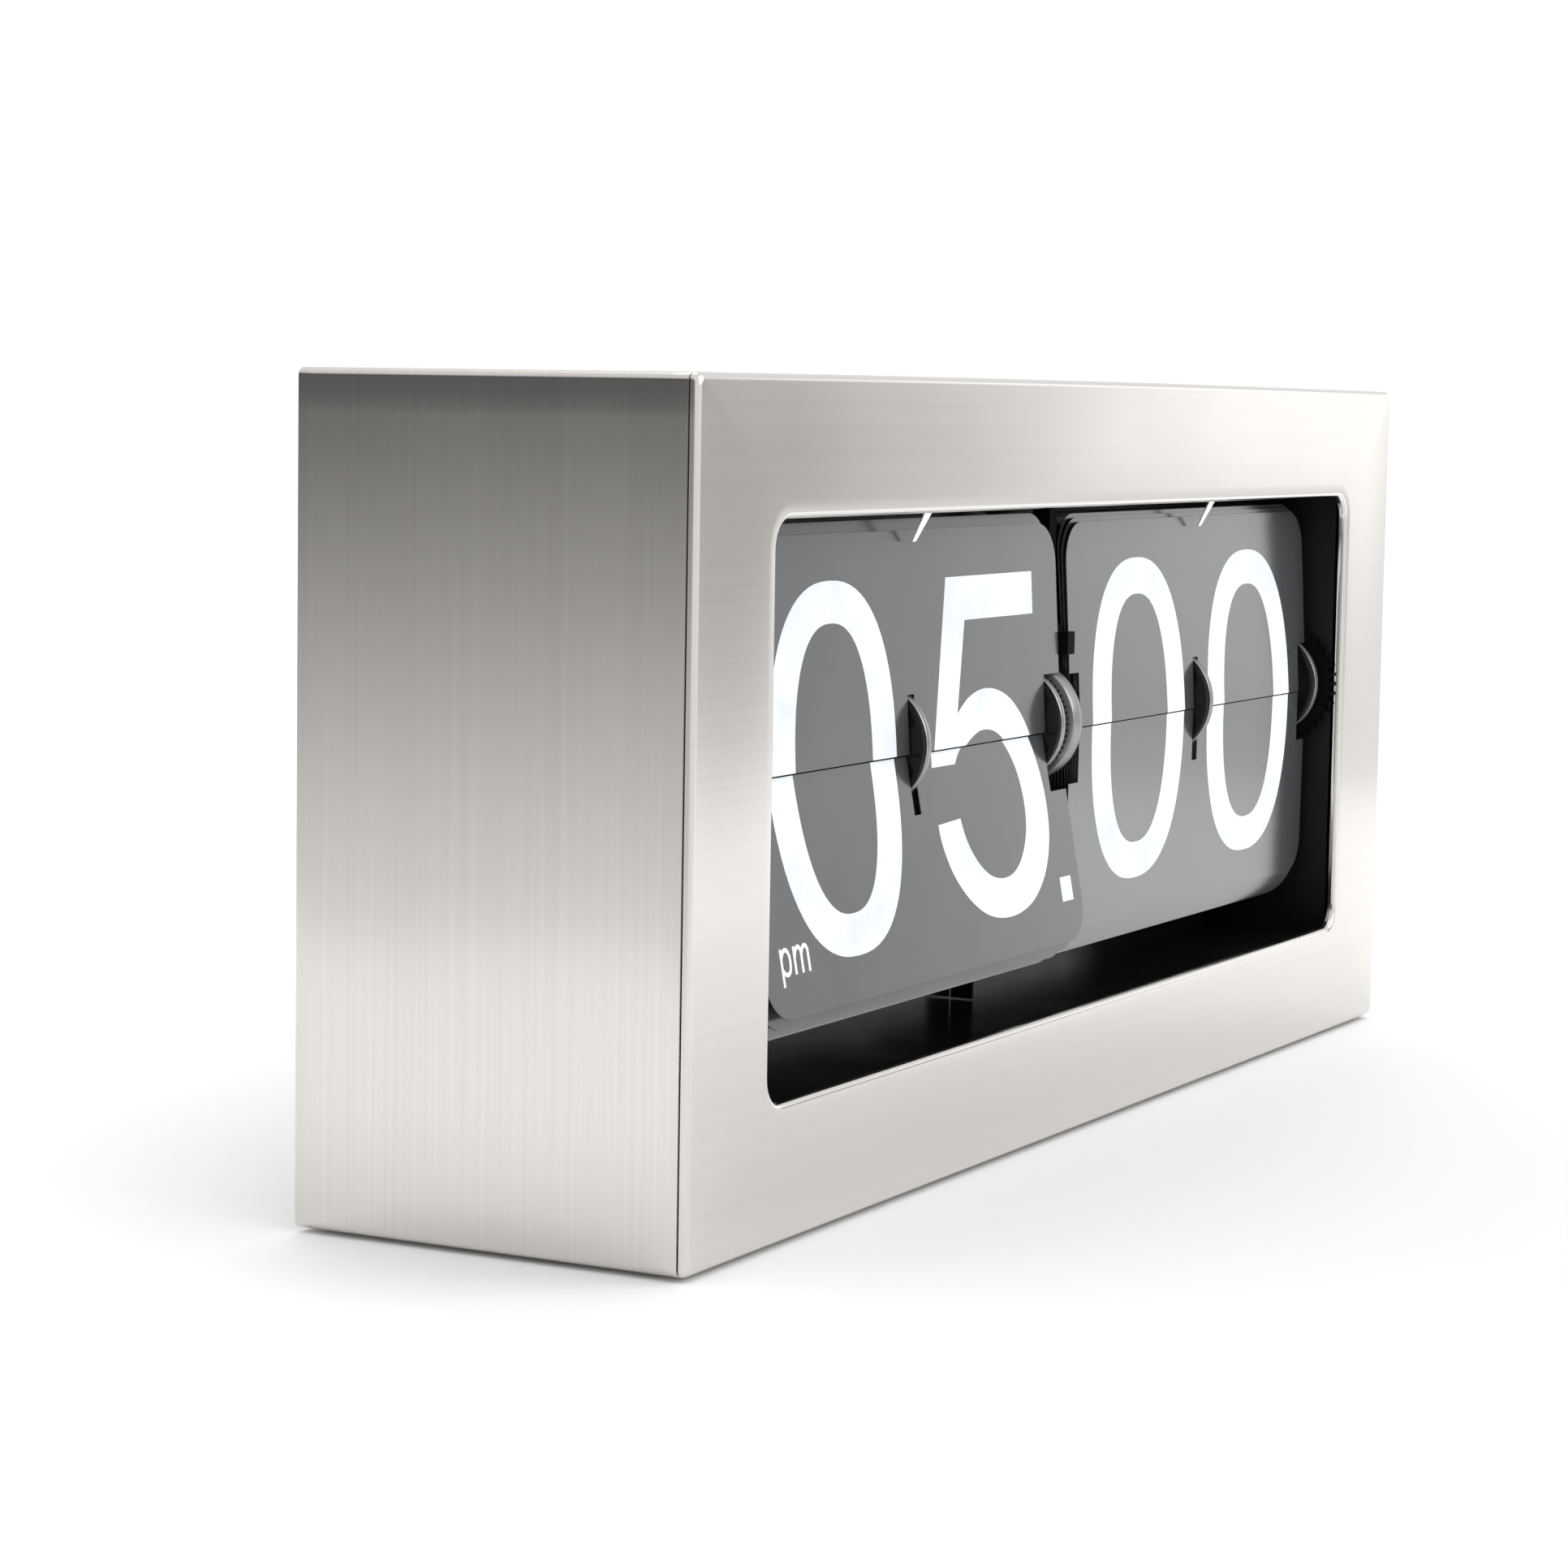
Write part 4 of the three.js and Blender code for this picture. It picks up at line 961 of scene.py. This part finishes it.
class Studio:
    """Plain white light all round. Reflections also see a dark room, a grey patch and a glare."""

    def __init__(self):
        world = bpy.data.worlds.new("studio")
        bpy.context.scene.world = world
        world.use_nodes = True
        self.nodes = world.node_tree.nodes
        self.links = world.node_tree.links
        self.directions = self.nodes.new("ShaderNodeTexCoord").outputs["Generated"]
        front = self.join("MULTIPLY", self.spot(*PATCH), self.spot(*GLARE))
        behind = self.toward(ROOM_DIRECTION, *ROOM_EDGE, 0.0, 1.0)
        lit = self.blend(behind, front, self.room())
        path = self.nodes.new("ShaderNodeLightPath")
        plain = self.join("ADD", path.outputs["Is Camera Ray"], path.outputs["Is Diffuse Ray"])
        plain.node.use_clamp = True
        background = self.nodes["Background"]
        background.inputs["Color"].default_value = (1.0, 1.0, 1.0, 1)
        self.links.new(self.blend(plain, lit, PLAIN_WHITE), background.inputs["Strength"])

    def join(self, operation, a, b):
        node = self.nodes.new("ShaderNodeMath")
        node.operation = operation
        self.links.new(a, node.inputs[0])
        self.links.new(b, node.inputs[1])
        return node.outputs[0]

    def blend(self, factor, a, b):
        mix = self.nodes.new("ShaderNodeMix")
        self.links.new(factor, mix.inputs["Factor"])
        for socket, value in (("A", a), ("B", b)):
            if isinstance(value, float):
                mix.inputs[socket].default_value = value
            else:
                self.links.new(value, mix.inputs[socket])
        return mix.outputs["Result"]

    def toward(self, direction, low, high, outside, inside):
        """`inside` for directions close to this one, `outside` for the rest; low and high are cosines."""
        dot = self.nodes.new("ShaderNodeVectorMath")
        dot.operation = "DOT_PRODUCT"
        dot.inputs[1].default_value = direction
        self.links.new(self.directions, dot.inputs[0])
        band = self.nodes.new("ShaderNodeMapRange")
        band.interpolation_type = "SMOOTHSTEP"
        band.inputs["From Min"].default_value = low
        band.inputs["From Max"].default_value = high
        band.inputs["To Min"].default_value = outside
        band.inputs["To Max"].default_value = inside
        self.links.new(dot.outputs["Value"], band.inputs["Value"])
        return band.outputs["Result"]

    def spot(self, direction, outer, inner, outside, inside):
        low, high = math.cos(math.radians(outer)), math.cos(math.radians(inner))
        return self.toward(direction, low, high, outside, inside)

    def room(self):
        """The room's brightness by height."""
        height = self.nodes.new("ShaderNodeSeparateXYZ")
        self.links.new(self.directions, height.inputs[0])
        shift = self.nodes.new("ShaderNodeMapRange")
        shift.inputs["From Min"].default_value = -1.0
        self.links.new(height.outputs["Z"], shift.inputs["Value"])
        ramp = self.nodes.new("ShaderNodeValToRGB")
        self.links.new(shift.outputs["Result"], ramp.inputs["Fac"])
        stops = ramp.color_ramp.elements
        stops.remove(stops[1])
        for index, (z, value) in enumerate(ROOM_STOPS):
            place = z / 2 + 0.5
            stop = stops.new(place) if index else stops[0]
            stop.position = place
            stop.color = (value, value, value, 1)
        room = self.nodes.new("ShaderNodeRGBToBW")
        self.links.new(ramp.outputs["Color"], room.inputs["Color"])
        return room.outputs["Val"]


def area_light(name, place, target, size, power, colour):
    data = bpy.data.lights.new(name, "AREA")
    data.shape = "RECTANGLE"
    data.size, data.size_y = size
    data.energy = power
    data.color = colour
    light = bpy.data.objects.new(name, data)
    light.location = place
    light.rotation_euler = (Vector(target) - Vector(place)).to_track_quat("-Z", "Y").to_euler()
    bpy.context.scene.collection.objects.link(light)


def camera():
    yaw, pitch, roll = (math.radians(a) for a in CAMERA_TURN)
    flat = math.cos(pitch)
    forward = Vector((math.sin(yaw) * flat, math.cos(yaw) * flat, -math.sin(pitch)))
    right = Vector((math.cos(yaw), -math.sin(yaw), 0))
    up = right.cross(forward)
    turned_right = right * math.cos(roll) + up * math.sin(roll)
    turned_up = up * math.cos(roll) - right * math.sin(roll)
    data = bpy.data.cameras.new("camera")
    data.sensor_width = SENSOR_WIDTH
    data.lens = CAMERA_LENS
    data.clip_start = 0.01
    eye = bpy.data.objects.new("camera", data)
    bpy.context.scene.collection.objects.link(eye)
    turn = Matrix((turned_right, turned_up, -forward)).transposed().to_4x4()
    eye.matrix_world = Matrix.Translation(Vector(CAMERA_PLACE) * MM) @ turn
    bpy.context.scene.camera = eye


bpy.context.scene.view_settings.view_transform = "Standard"
stage_floor()
Studio()
area_light("front_softbox", (0.9, -1.5, 0.9), (0, 0, 0.08), (1.2, 0.9), 13, (0.97, 0.985, 1.0))
area_light("top_softbox", (0.2, 0.1, 1.6), (0, 0, 0), (1.4, 1.0), 3, (1, 1, 1))
camera()
